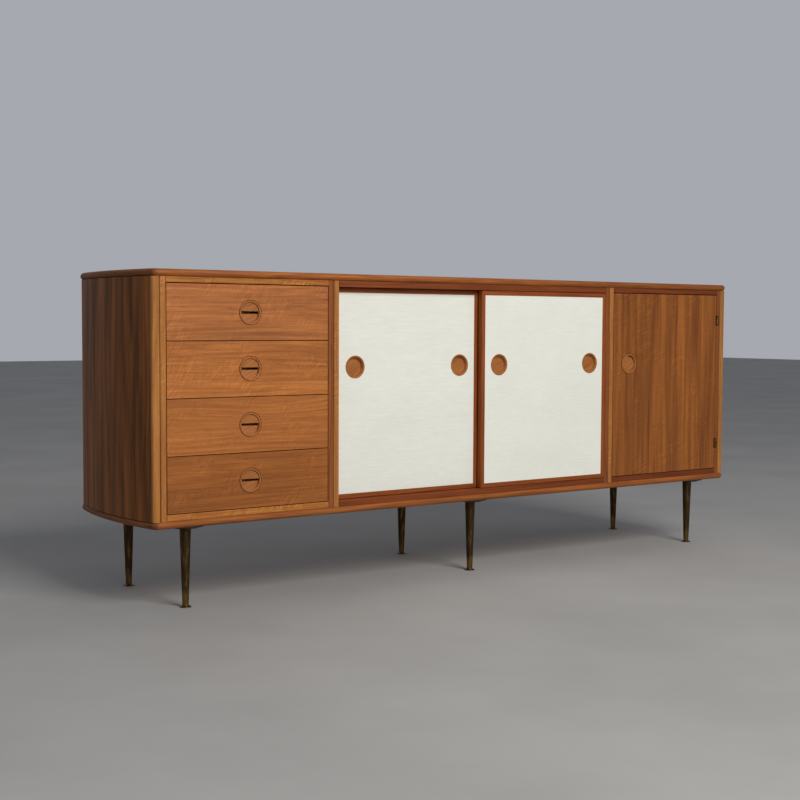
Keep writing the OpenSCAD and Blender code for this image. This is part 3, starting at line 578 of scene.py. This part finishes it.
# ---- Bench work: small steps that shape a piece ----


def select_only(piece: Piece | None = None) -> None:
    """Leaves only the given piece selected and active, or nothing."""
    for other in bpy.context.selected_objects:
        other.select_set(False)
    if piece:
        piece.select_set(True)
        bpy.context.view_layer.objects.active = piece


def edit(piece: Piece) -> None:
    """Enters edit mode on a piece with all of it selected."""
    select_only(piece)
    bpy.ops.object.mode_set(mode="EDIT")
    bpy.ops.mesh.select_all(action="SELECT")


def leave_edit() -> None:
    """Goes back to object mode."""
    bpy.ops.object.mode_set(mode="OBJECT")


def apply_modifier(piece: Piece, kind: str, **settings: object) -> None:
    """Adds a modifier to a piece and applies it.

    Args:
        piece: The piece to change.
        kind: The modifier's type.
        settings: Attributes to set on the modifier.
    """
    select_only(piece)
    modifier = piece.modifiers.new(kind.lower(), kind)
    for key, value in settings.items():
        setattr(modifier, key, value)
    bpy.ops.object.modifier_apply(modifier=modifier.name)


def ease_edges(piece: Piece, width_mm: float, segments: int = 2) -> None:
    """Rounds the sharp edges of a piece.

    Args:
        piece: The piece to change.
        width_mm: Width of the rounding, in millimetres.
        segments: Facets of the rounding.
    """
    limit = {"limit_method": "ANGLE", "angle_limit": math.radians(EASED_DEG)}
    apply_modifier(piece, "BEVEL", use_clamp_overlap=True, width=width_mm * MM, segments=segments, **limit)


def cut_away(piece: Piece, cutter: Piece) -> None:
    """Cuts the cutter's shape out of a piece, and throws the cutter away."""
    apply_modifier(piece, "BOOLEAN", operation="DIFFERENCE", solver="EXACT", object=cutter)
    bpy.data.objects.remove(cutter)


def add_block(low: Sequence[float], high: Sequence[float], name: str = "block") -> Piece:
    """Adds a sawn block between two corners.

    Args:
        low: Lowest corner, in metres.
        high: Highest corner, in metres.
        name: The block's name.

    Returns:
        The new block, with its place in its mesh.
    """
    select_only()
    bpy.ops.mesh.primitive_cube_add(size=1, location=(Vector(low) + Vector(high)) / 2)
    block = bpy.context.object
    block.name = name
    block.scale = Vector(high) - Vector(low)
    bpy.ops.object.transform_apply(location=True, rotation=True, scale=True)
    return block


def turn_piece(name: str, profile_mm: Sequence[tuple[float, float]], segments: int = 72) -> Piece:
    """Turns a solid about the Z axis, ring by ring, as on a lathe.

    Args:
        name: The piece's name.
        profile_mm: Radius and height of each ring, in millimetres; the first and last rings are closed.
        segments: Facets round the piece.

    Returns:
        The turned piece.
    """
    select_only()
    radius, height = profile_mm[0]
    bpy.ops.mesh.primitive_circle_add(
        vertices=segments, radius=radius * MM, fill_type="NGON", location=(0, 0, height * MM)
    )
    piece = bpy.context.object
    piece.name = name
    bpy.ops.object.transform_apply(location=True)
    edit(piece)
    for next_radius, next_height in profile_mm[1:]:
        bpy.ops.mesh.extrude_region_move(
            TRANSFORM_OT_translate={"value": (0, 0, (next_height - height) * MM), "orient_type": "GLOBAL"}
        )
        ratio = next_radius / radius
        bpy.ops.transform.resize(value=(ratio, ratio, 1), center_override=(0, 0, next_height * MM))
        radius, height = next_radius, next_height
    bpy.ops.mesh.select_all(action="SELECT")
    bpy.ops.mesh.normals_make_consistent(inside=False)
    leave_edit()
    return piece


def place_piece(piece: Piece, matrix: Matrix) -> Piece:
    """Moves a piece and puts its place into its mesh.

    Args:
        piece: The piece to move.
        matrix: Where its own axes go.

    Returns:
        The same piece.
    """
    select_only(piece)
    piece.matrix_world = matrix
    bpy.ops.object.transform_apply(location=True, rotation=True, scale=True)
    return piece


def copy_to(piece: Piece, matrices: Sequence[Matrix]) -> Piece:
    """Copies a piece to several places, each with its own mesh, and joins the copies into one group.

    Args:
        piece: The piece to copy, which is used up.
        matrices: Where the copies go.

    Returns:
        The group, under the piece's name.
    """
    copies = []
    for matrix in matrices:
        select_only(piece)
        bpy.ops.object.duplicate(linked=False)
        copies.append(place_piece(bpy.context.object, matrix))
    name = piece.name
    bpy.data.objects.remove(piece)
    return join_pieces(name, copies)


def join_pieces(name: str, parts: Sequence[Piece]) -> Piece:
    """Joins parts into one object.

    Args:
        name: The joined object's name.
        parts: The parts, at least one.

    Returns:
        The joined object.
    """
    select_only(parts[0])
    for part in parts:
        part.select_set(True)
    if len(parts) > 1:
        bpy.ops.object.join()
    joined = bpy.context.object
    joined.name = name
    return joined


def copy_node(node: str, name: str) -> Piece:
    """Copies a CAD node as a new piece whose loose triangles are merged into one skin.

    Args:
        node: The CAD node.
        name: The new piece's name.

    Returns:
        The new piece.
    """
    select_only(frame["nodes"][node])
    bpy.ops.object.duplicate(linked=False)
    piece = bpy.context.object
    piece.parent = None
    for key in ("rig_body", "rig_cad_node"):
        del piece[key]
    piece.name = name
    bpy.ops.mesh.customdata_custom_splitnormals_clear()
    edit(piece)
    bpy.ops.mesh.remove_doubles(threshold=WELD_MM * MM)
    bpy.ops.mesh.dissolve_limited(angle_limit=math.radians(FLAT_DEG))
    leave_edit()
    return piece


def keep_side(piece: Piece, point: Sequence[float], away: Sequence[float]) -> None:
    """Saws a piece along a plane and throws away the side that the normal points to.

    Args:
        piece: The piece to saw.
        point: A point on the plane, in metres.
        away: The plane's normal.
    """
    edit(piece)
    bpy.ops.mesh.bisect(plane_co=point, plane_no=away, use_fill=True, clear_outer=True)
    leave_edit()


def hand_over(
    piece: Piece,
    body: str,
    finishes: Sequence[Finish],
    nodes: Sequence[str],
    choose: Callable[[bpy.types.MeshPolygon], int] | None = None,
) -> Piece:
    """Gives a finished piece its shading, finishes and place in the frame, and reports it.

    Args:
        piece: The piece.
        body: The body that it rides on.
        finishes: Its finishes.
        nodes: The CAD nodes that it stands for.
        choose: Picks the number of the finish for a face; without it all faces get the first.

    Returns:
        The same piece.
    """
    select_only(piece)
    bpy.ops.object.shade_smooth_by_angle(angle=math.radians(SMOOTH_DEG))
    apply_modifier(piece, "WEIGHTED_NORMAL", keep_sharp=True, weight=100)
    if finishes:
        piece.data.materials.clear()
        for finish in finishes:
            piece.data.materials.append(finish.material())
    if choose:
        for face in piece.data.polygons:
            face.material_index = choose(face)
    piece.data.name = piece.name
    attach(piece, body)
    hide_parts(*nodes)
    log.info("%s: %d faces, on %s", piece.name, len(piece.data.polygons), body)
    return piece


def dress_node(node: str, finish: Finish) -> None:
    """Gives a CAD node that keeps its shape a better finish.

    Args:
        node: The CAD node.
        finish: Its finish.
    """
    shown = frame["nodes"][node]
    shown.data.materials.clear()
    shown.data.materials.append(finish.material())
    log.info("%s: dressed as %s", node, finish.name)


# ---- Sub-assemblies ----


@dataclass
class Slabs:
    """Top and bottom slabs, each a veneered core in a solid lipping with rounded edges."""

    lipping_ease_mm: float = 0.3

    def build(self) -> None:
        """Models and dresses both slabs."""
        for level in ("top", "bottom"):
            core = copy_node(f"{level}_panel", f"{level}_slab")
            hand_over(core, "root", [SLAB_TEAK], [f"{level}_panel"])
            self.lip(level)

    def lip(self, level: str) -> None:
        """Models one slab's lipping, with the grain turned and the colour darkened as painted shade at the
        bowed ends.

        Args:
            level: Top or bottom.
        """
        node = f"{level}_lipping"
        end_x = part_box(f"{level}_panel")[1].x - self.end_run(level)
        piece = copy_node(node, f"{level}_slab_lipping")
        ease_edges(piece, self.lipping_ease_mm)
        hand_over(
            piece, "root", [LIPPING_TEAK, LIPPING_TEAK_ENDS_SHADED], [node],
            lambda face: int(abs(face.center.x) > end_x),
        )

    def end_run(self, level: str) -> float:
        """Length along X that the bow of an end takes up inside the lipping.

        Args:
            level: Top or bottom.

        Returns:
            The bow's run, in metres.
        """
        low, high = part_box(f"{level}_panel")
        mesh = frame["nodes"][f"{level}_panel"].data
        corner = max(v.co.x for v in mesh.vertices if v.co.y < low.y + TOUCH_MM * MM)
        return high.x - corner


@dataclass
class Case:
    """Uprights, corner posts, curved ends and the boards between them.

    Attributes:
        golden: The uprights that are of paler, more golden teak.
    """

    golden: tuple[str, ...] = ("drawer_bay_side_left", "centre_bay_side_left", "door_bay_side_left")

    def build(self) -> None:
        """Dresses the case."""
        for bay in ("drawer_bay", "centre_bay", "door_bay"):
            for side in ("left", "right"):
                node = f"{bay}_side_{side}"
                piece = copy_node(node, f"{bay}_upright_{side}")
                finish = GOLD_UPRIGHTS if node in self.golden else RED_UPRIGHTS
                hand_over(piece, "root", [finish], [node])
        for side in ("left", "right"):
            piece = copy_node(f"end_panel_{side}", f"curved_end_{side}")
            hand_over(piece, "root", [END_TEAK], [f"end_panel_{side}"])
        for row in ("front", "rear"):
            piece = copy_node(f"{row}_corner_posts", f"{row}_posts")
            hand_over(piece, "root", [POST_TEAK], [f"{row}_corner_posts"])
        # The boards of the drawer bay are golden, and all the others are red
        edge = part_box("drawer_bay_side_right")[1].x
        for node in ("side_bay_tops", "centre_bay_top", "side_bay_floors", "centre_bay_floor"):
            piece = copy_node(node, f"{node}_eased")
            hand_over(
                piece, "root", [GOLD_BOARDS, RED_BOARDS], [node],
                lambda face: int(face.center.x > edge),
            )
        dress_node("back_panel", BACK_PLY)
        dress_node("drawer_runners", BEECH)
        dress_node("door_catch", BEECH)
        for node in ("centre_shelf", "door_bay_shelf"):
            dress_node(node, SHELF_TEAK)
        dress_node("shelf_pins", PIN_BRASS)


@dataclass
class RoundPull:
    """Turned pull let into a door or drawer front. Its own axes are X right, Y up and Z out of the face."""

    outer_mm: float = 29.3
    body_mm: float = 28.0
    proud_mm: float = 1.0
    depth_mm: float = 14.0
    lip_back_mm: float = 1.2
    lip_t_mm: float = 3.0
    lip_edge_mm: float = 3.2
    slot_edge_mm: float = 3.0
    bowl_mm: float = 24.3
    bowl_floor_mm: float = 11.5
    scoop_mm: float = 8.5
    scoop_deg: float = 9.0
    hub_mm: float = 2.0
    ease_mm: float = 0.5

    def rim(self) -> list[tuple[float, float]]:
        """Returns the rings of the body's outside and its rounded rim, from the back to the rim's top."""
        outer, proud = self.outer_mm, self.proud_mm
        return [
            (self.body_mm, -self.depth_mm),
            (self.body_mm, 0.0),
            (outer - 0.3, 0.0),
            (outer, 0.3),
            (outer, proud - 0.45),
            (outer - 0.15, proud - 0.15),
            (outer - 0.5, proud),
        ]

    def dish(self, name: str) -> Piece:
        """Turns a dish with a rolled rim, a sloping wall and a flat floor.

        Args:
            name: The piece's name.

        Returns:
            The dish, about its own axes.
        """
        outer = self.outer_mm
        hollow = [
            (outer - 2.0, 0.95), (outer - 3.2, 0.7), (outer - 4.2, 0.1), (outer - 4.9, -1.0),
            (outer - 5.7, -3.6), (outer - 6.6, -6.2), (outer - 7.4, -7.4), (outer - 8.6, -7.95),
            (outer - 11.0, -8.0), (self.hub_mm, -8.0),
        ]
        return turn_piece(name, self.rim() + hollow)

    def lipped_bowl(self, name: str) -> Piece:
        """Turns a blank, then hollows it below a flat finger lip that covers half of the bowl.

        Args:
            name: The piece's name.

        Returns:
            The pull, about its own axes.
        """
        bowl, proud, back = self.bowl_mm, self.proud_mm, self.lip_back_mm
        # A fine groove parts the rim from the flat disc
        face = [
            (bowl + 1.6, proud), (bowl + 0.9, proud - 0.4), (bowl + 0.5, -back - 1.2),
            (bowl - 0.5, -back - 1.2), (bowl - 0.9, -back), (self.hub_mm, -back),
        ]
        piece = turn_piece(name, self.rim() + face)
        scoop = turn_piece("scoop", [(bowl, -self.bowl_floor_mm), (bowl, proud + 1.0)])
        tilt = math.radians(self.scoop_deg)
        keep_side(scoop, (0, 0, -self.scoop_mm * MM), (0, -math.sin(tilt), -math.cos(tilt)))
        keep_side(scoop, (0, self.lip_edge_mm * MM, 0), (0, 1, 0))
        cut_away(piece, scoop)
        # The slot under the lip stays a little inside the bowl's wall
        wall = bowl - 0.3
        slot = turn_piece("slot", [(wall, -self.bowl_floor_mm), (wall, -back - self.lip_t_mm)])
        keep_side(slot, (0, -self.slot_edge_mm * MM, 0), (0, -1, 0))
        cut_away(piece, slot)
        ease_edges(piece, self.ease_mm)
        return piece

    @staticmethod
    def facing_front(centre: Vector, lip: Lip = Lip.ABOVE) -> Matrix:
        """Works out where a pull's own axes go.

        Args:
            centre: The middle of its rim, in the frame.
            lip: The side that the lip covers.

        Returns:
            The pull's matrix.
        """
        stand = Matrix.Rotation(math.radians(90), 4, "X")
        return Matrix.Translation(centre) @ stand @ Matrix.Rotation(math.radians(lip.value), 4, "Z")


def ring_groove(
    piece: Piece, centre: Vector, radius_mm: float = 30.7, depth_mm: float = 3.0
) -> None:
    """Cuts the seat of a pull into a face, a little wider than its rim, so that a fine groove shows round it.

    Args:
        piece: The piece with the face.
        centre: The middle of the pull on that face.
        radius_mm: Radius of the seat, in millimetres.
        depth_mm: Its depth.
    """
    seat = turn_piece("seat", [(radius_mm, -depth_mm), (radius_mm, depth_mm)])
    cut_away(piece, place_piece(seat, RoundPull.facing_front(centre)))


def pull_centres(node: str, count: int = 1) -> list[Vector]:
    """Finds the middles of the pulls in a node, on the face that they are let into.

    Args:
        node: The CAD node, with one pull or two side by side.
        count: How many pulls it holds.

    Returns:
        The middles, from left to right.
    """
    low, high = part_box(node)
    radius = (high.z - low.z) / 2
    z = (low.z + high.z) / 2
    xs = [low.x + radius, high.x - radius] if count == 2 else [(low.x + high.x) / 2]
    return [Vector((x, low.y + RoundPull.proud_mm * MM, z)) for x in xs]


@dataclass
class Drawer:
    """One drawer: solid front, dovetailed box, bottom and turned pull."""

    number: int
    ease_mm: float = 0.7

    def build(self) -> None:
        """Models the front and pull, and dresses the box."""
        name = f"drawer_{self.number}"
        front = copy_node(f"{name}_front", f"{name}_face")
        centre = pull_centres(f"{name}_pull")[0]
        ring_groove(front, centre)
        ease_edges(front, self.ease_mm)
        # Each front's colours carry painted shade that deepens towards the lower drawers
        light, dark = DRAWER_TONES_SHADED_DOWNWARD[self.number - 1]
        own = {"name": f"{DRAWER_TEAK.name}_{self.number}", "seed": DRAWER_TEAK.seed + self.number * 2.0}
        finish = replace(DRAWER_TEAK, light=light, dark=dark, **own)
        hand_over(front, name, [finish], [f"{name}_front"])
        dress_node(f"{name}_box", BOX_WOOD)
        dress_node(f"{name}_bottom", PLY_BOTTOM)
        pull = RoundPull().lipped_bowl(f"{name}_turned_pull")
        place_piece(pull, RoundPull.facing_front(centre))
        hand_over(pull, name, [TURNED_TEAK], [f"{name}_pull"])


@dataclass
class SlidingDoor:
    """Sliding door: mitred frame, panel covered with grasscloth, and two turned dishes."""

    side: str
    ease_mm: float = 1.0
    member_mm: float = 12.0
    rebate_mm: float = 4.8
    hole_mm: float = 28.6
    cloth_t_mm: float = 0.7

    def build(self) -> None:
        """Models and dresses the door."""
        self.frame()
        self.cloth()
        body = f"{self.side}_slider"
        dress_node(f"{body}_panel", BEECH)
        places = [RoundPull.facing_front(centre) for centre in pull_centres(f"{body}_pulls", 2)]
        dishes = copy_to(RoundPull(depth_mm=11.0).dish(f"{body}_turned_dishes"), places)
        hand_over(dishes, body, [TURNED_TEAK], [f"{body}_pulls"])

    def frame(self) -> None:
        """Saws the four frame members out of the frame along its mitres, and eases their edges."""
        body = f"{self.side}_slider"
        low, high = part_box(f"{body}_panel")
        reach = self.member_mm - self.rebate_mm
        x0, x1 = low.x - reach * MM, high.x + reach * MM
        z0, z1 = low.z - reach * MM, high.z + reach * MM
        corners = {
            "bottom": ((x0, z0, (-1, 1)), (x1, z0, (1, 1))),
            "top": ((x0, z1, (-1, -1)), (x1, z1, (1, -1))),
            "left": ((x0, z0, (1, -1)), (x0, z1, (1, 1))),
            "right": ((x1, z0, (-1, -1)), (x1, z1, (-1, 1))),
        }
        members = []
        for member, cuts in corners.items():
            piece = copy_node(f"{body}_frame", f"{body}_{member}")
            for x, z, (away_x, away_z) in cuts:
                keep_side(piece, (x, 0, z), (away_x, 0, away_z))
            ease_edges(piece, self.ease_mm)
            finish = RED_RAILS if member in ("bottom", "top") else RED_STILES
            piece.data.materials.clear()
            piece.data.materials.append(finish.material())
            members.append(piece)
        joined = join_pieces(f"{body}_mitred_frame", members)
        hand_over(joined, body, [], [f"{body}_frame"])

    def cloth(self) -> None:
        """Cuts the cloth to the frame's opening, with a hole under each dish."""
        body = f"{self.side}_slider"
        low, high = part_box(f"{body}_cloth")
        cloth = add_block(low, (high.x, low.y + self.cloth_t_mm * MM, high.z), f"{body}_grasscloth")
        for centre in pull_centres(f"{body}_pulls", 2):
            punch = turn_piece("punch", [(self.hole_mm, -PUNCH_MM), (self.hole_mm, PUNCH_MM)])
            cut_away(cloth, place_piece(punch, RoundPull.facing_front(centre)))
        hand_over(cloth, body, [CLOTH], [f"{body}_cloth"])


@dataclass
class HingedDoor:
    """Hinged door: veneered panel, turned pull with its lip at the left, and the hinges' door leaves."""

    ease_mm: float = 0.7
    hinge_ease_mm: float = 0.3

    def build(self) -> None:
        """Models and dresses the door and its hinges."""
        panel = copy_node("hinged_door_panel", "hinged_door_face")
        centre = pull_centres("hinged_door_pull")[0]
        ring_groove(panel, centre)
        ease_edges(panel, self.ease_mm)
        hand_over(panel, "hinged_door", [DOOR_TEAK], ["hinged_door_panel"])
        pull = RoundPull().lipped_bowl("hinged_door_turned_pull")
        place_piece(pull, RoundPull.facing_front(centre, Lip.LEFT))
        hand_over(pull, "hinged_door", [TURNED_TEAK], ["hinged_door_pull"])
        homes = {"hinge_door_leaves": "hinged_door", "hinge_frame_leaves": "root", "hinge_pins": "root"}
        for node, body in homes.items():
            piece = copy_node(node, f"{node}_bronzed")
            ease_edges(piece, self.hinge_ease_mm)
            hand_over(piece, body, [BRONZED], [node])


@dataclass
class Legs:
    """Six tapered brass legs with their feet, mounting plates, bosses and screws."""

    ease_mm: float = 0.7
    foot_r_mm: float = 7.75
    head_r_mm: float = 13.75
    bottom_mm: float = 5.0
    top_mm: float = 193.0
    facets: int = 48

    def centres(self, node: str) -> list[Vector]:
        """Finds the legs' middles in a group of three along X.

        Args:
            node: The CAD node of the group.

        Returns:
            The middles at floor level, from left to right.
        """
        low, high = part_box(node)
        radius = (high.y - low.y) / 2
        y = (low.y + high.y) / 2
        return [Vector((x, y, 0)) for x in (low.x + radius, (low.x + high.x) / 2, high.x - radius)]

    def build(self) -> None:
        """Models and dresses the legs."""
        feet = []
        for row in ("front", "rear"):
            places = [Matrix.Translation(centre) for centre in self.centres(f"{row}_legs")]
            feet += places
            legs = copy_to(self.leg(f"{row}_brass_legs"), places)
            hand_over(legs, "root", [BRASS], [f"{row}_legs"])
        hand_over(copy_to(self.foot("brass_feet"), feet), "root", [BRASS], ["leg_feet"])
        for node in ("leg_plates", "leg_bosses"):
            piece = copy_node(node, f"{node}_enamelled")
            ease_edges(piece, self.ease_mm)
            hand_over(piece, "root", [BLACK_ENAMEL], [node])
        dress_node("leg_screws", SCREW_STEEL)
        dress_node("back_screws", PIN_BRASS)

    def leg(self, name: str) -> Piece:
        """Turns one leg tube: a collar at the foot, a long taper and a rolled top.

        Args:
            name: The piece's name.

        Returns:
            The leg, standing at the origin.
        """
        low, high = self.foot_r_mm, self.head_r_mm
        bottom, top = self.bottom_mm, self.top_mm

        def taper(height: float) -> float:
            """Radius of the tube at a height in millimetres."""
            return low + (high - low) * (height - bottom) / (top - bottom)

        collar = [
            (7.2, bottom), (low, bottom), (low + 0.3, bottom + 0.4), (low + 0.3, bottom + 1.4),
            (low, bottom + 1.8),
        ]
        tube = [(taper(height), height) for height in (16.0, 50.0, 90.0, 130.0, 165.0, 188.0)]
        head = [(high, top - 3.0), (high + 0.35, top - 2.2), (high + 0.35, top - 0.4), (high, top)]
        return turn_piece(name, collar + tube + head, self.facets)

    def foot(self, name: str) -> Piece:
        """Turns one foot: a worn disc and a small flare that meets the leg.

        Args:
            name: The piece's name.

        Returns:
            The foot, standing at the origin.
        """
        profile = [
            (13.4, 0.0), (14.0, 0.2), (14.25, 0.7), (14.25, 1.7), (13.9, 2.2), (13.2, 2.4), (11.2, 2.6),
            (9.6, 3.1), (8.6, 3.9), (8.0, 4.6), (self.foot_r_mm, self.bottom_mm),
        ]
        return turn_piece(name, profile, self.facets)


@dataclass
class Studio:
    """Camera, floor and soft lights. The camera stands to the left, a little above the middle of the case."""

    lens_mm: float = 60.9
    sensor_mm: float = 36.0
    eye: tuple[float, float, float] = (-2.3329, -3.0706, 0.6806)
    yaw_deg: float = 35.73
    pitch_deg: float = -3.2175
    roll_deg: float = 0.255
    floor_m: float = 40.0
    air: str = "#C3C6CE"
    air_given: float = 0.5
    air_seen: float = 0.7
    softbox_m: float = 2.4
    lamp: str = "#FFFCF7"

    def build(self) -> None:
        """Sets up the studio."""
        self.camera()
        self.floor()
        self.lights()

    def camera(self) -> None:
        """Makes the camera at its viewing angle."""
        data = bpy.data.cameras.new("studio_camera")
        data.lens, data.sensor_width = self.lens_mm, self.sensor_mm
        data.clip_start, data.clip_end = 0.05, 60.0
        camera = bpy.data.objects.new("studio_camera", data)
        bpy.context.scene.collection.objects.link(camera)
        turn = Matrix.Rotation(math.radians(-self.yaw_deg), 4, "Z")
        nod = Matrix.Rotation(math.radians(90 + self.pitch_deg), 4, "X")
        roll = Matrix.Rotation(math.radians(self.roll_deg), 4, "Z")
        camera.matrix_world = Matrix.Translation(self.eye) @ turn @ nod @ roll
        bpy.context.scene.camera = camera

    def floor(self) -> None:
        """Lays the floor and sets the pale surroundings."""
        select_only()
        bpy.ops.mesh.primitive_plane_add(size=self.floor_m, location=(0, 0, 0))
        floor = bpy.context.object
        floor.name = "studio_floor"
        floor.data.materials.append(StudioPaint("studio_floor_paint").material())
        world = bpy.data.worlds.new("studio_air")
        world.use_nodes = True
        sky = world.node_tree.nodes["Background"]
        sky.inputs["Color"].default_value = linear(self.air)
        # The backdrop looks a little brighter than the light that it gives
        seen = add_node(world.node_tree, "LightPath", output="Is Camera Ray")
        limits = {"To Min": self.air_given, "To Max": self.air_seen}
        glow = add_node(world.node_tree, "MapRange", {"Value": seen, **limits})
        world.node_tree.links.new(glow, sky.inputs["Strength"])
        bpy.context.scene.world = world

    def lights(self) -> None:
        """Hangs a large key light high in front and a weak fill at the left."""
        self.softbox("key", (-0.1, -4.5, 3.5), 205.0)
        self.softbox("fill", (-1.3, -4.6, 1.8), 34.0)
        scene = bpy.context.scene
        scene.view_settings.view_transform = "Standard"
        scene.view_settings.look = "None"

    def softbox(self, name: str, place: Sequence[float], power: float) -> None:
        """Hangs one square soft light aimed at the sideboard.

        Args:
            name: The light's name.
            place: Where it hangs, in metres.
            power: Its power, in watts.
        """
        data = bpy.data.lights.new(name, "AREA")
        data.shape, data.size, data.energy = "SQUARE", self.softbox_m, power
        data.color = linear(self.lamp)[:3]
        light = bpy.data.objects.new(name, data)
        bpy.context.scene.collection.objects.link(light)
        light.location = place
        light.rotation_mode = "QUATERNION"
        light.rotation_quaternion = (Vector((0, 0, 0.5)) - Vector(place)).to_track_quat("-Z", "Y")


def main() -> None:
    """Builds the sideboard's looks piece by piece."""
    logging.basicConfig(level=logging.INFO, format="%(name)s: %(message)s")
    Studio().build()
    Slabs().build()
    Case().build()
    for number in range(1, 5):
        Drawer(number).build()
    for side in ("left", "right"):
        SlidingDoor(side).build()
    HingedDoor().build()
    Legs().build()


if __name__ == "__main__":
    main()
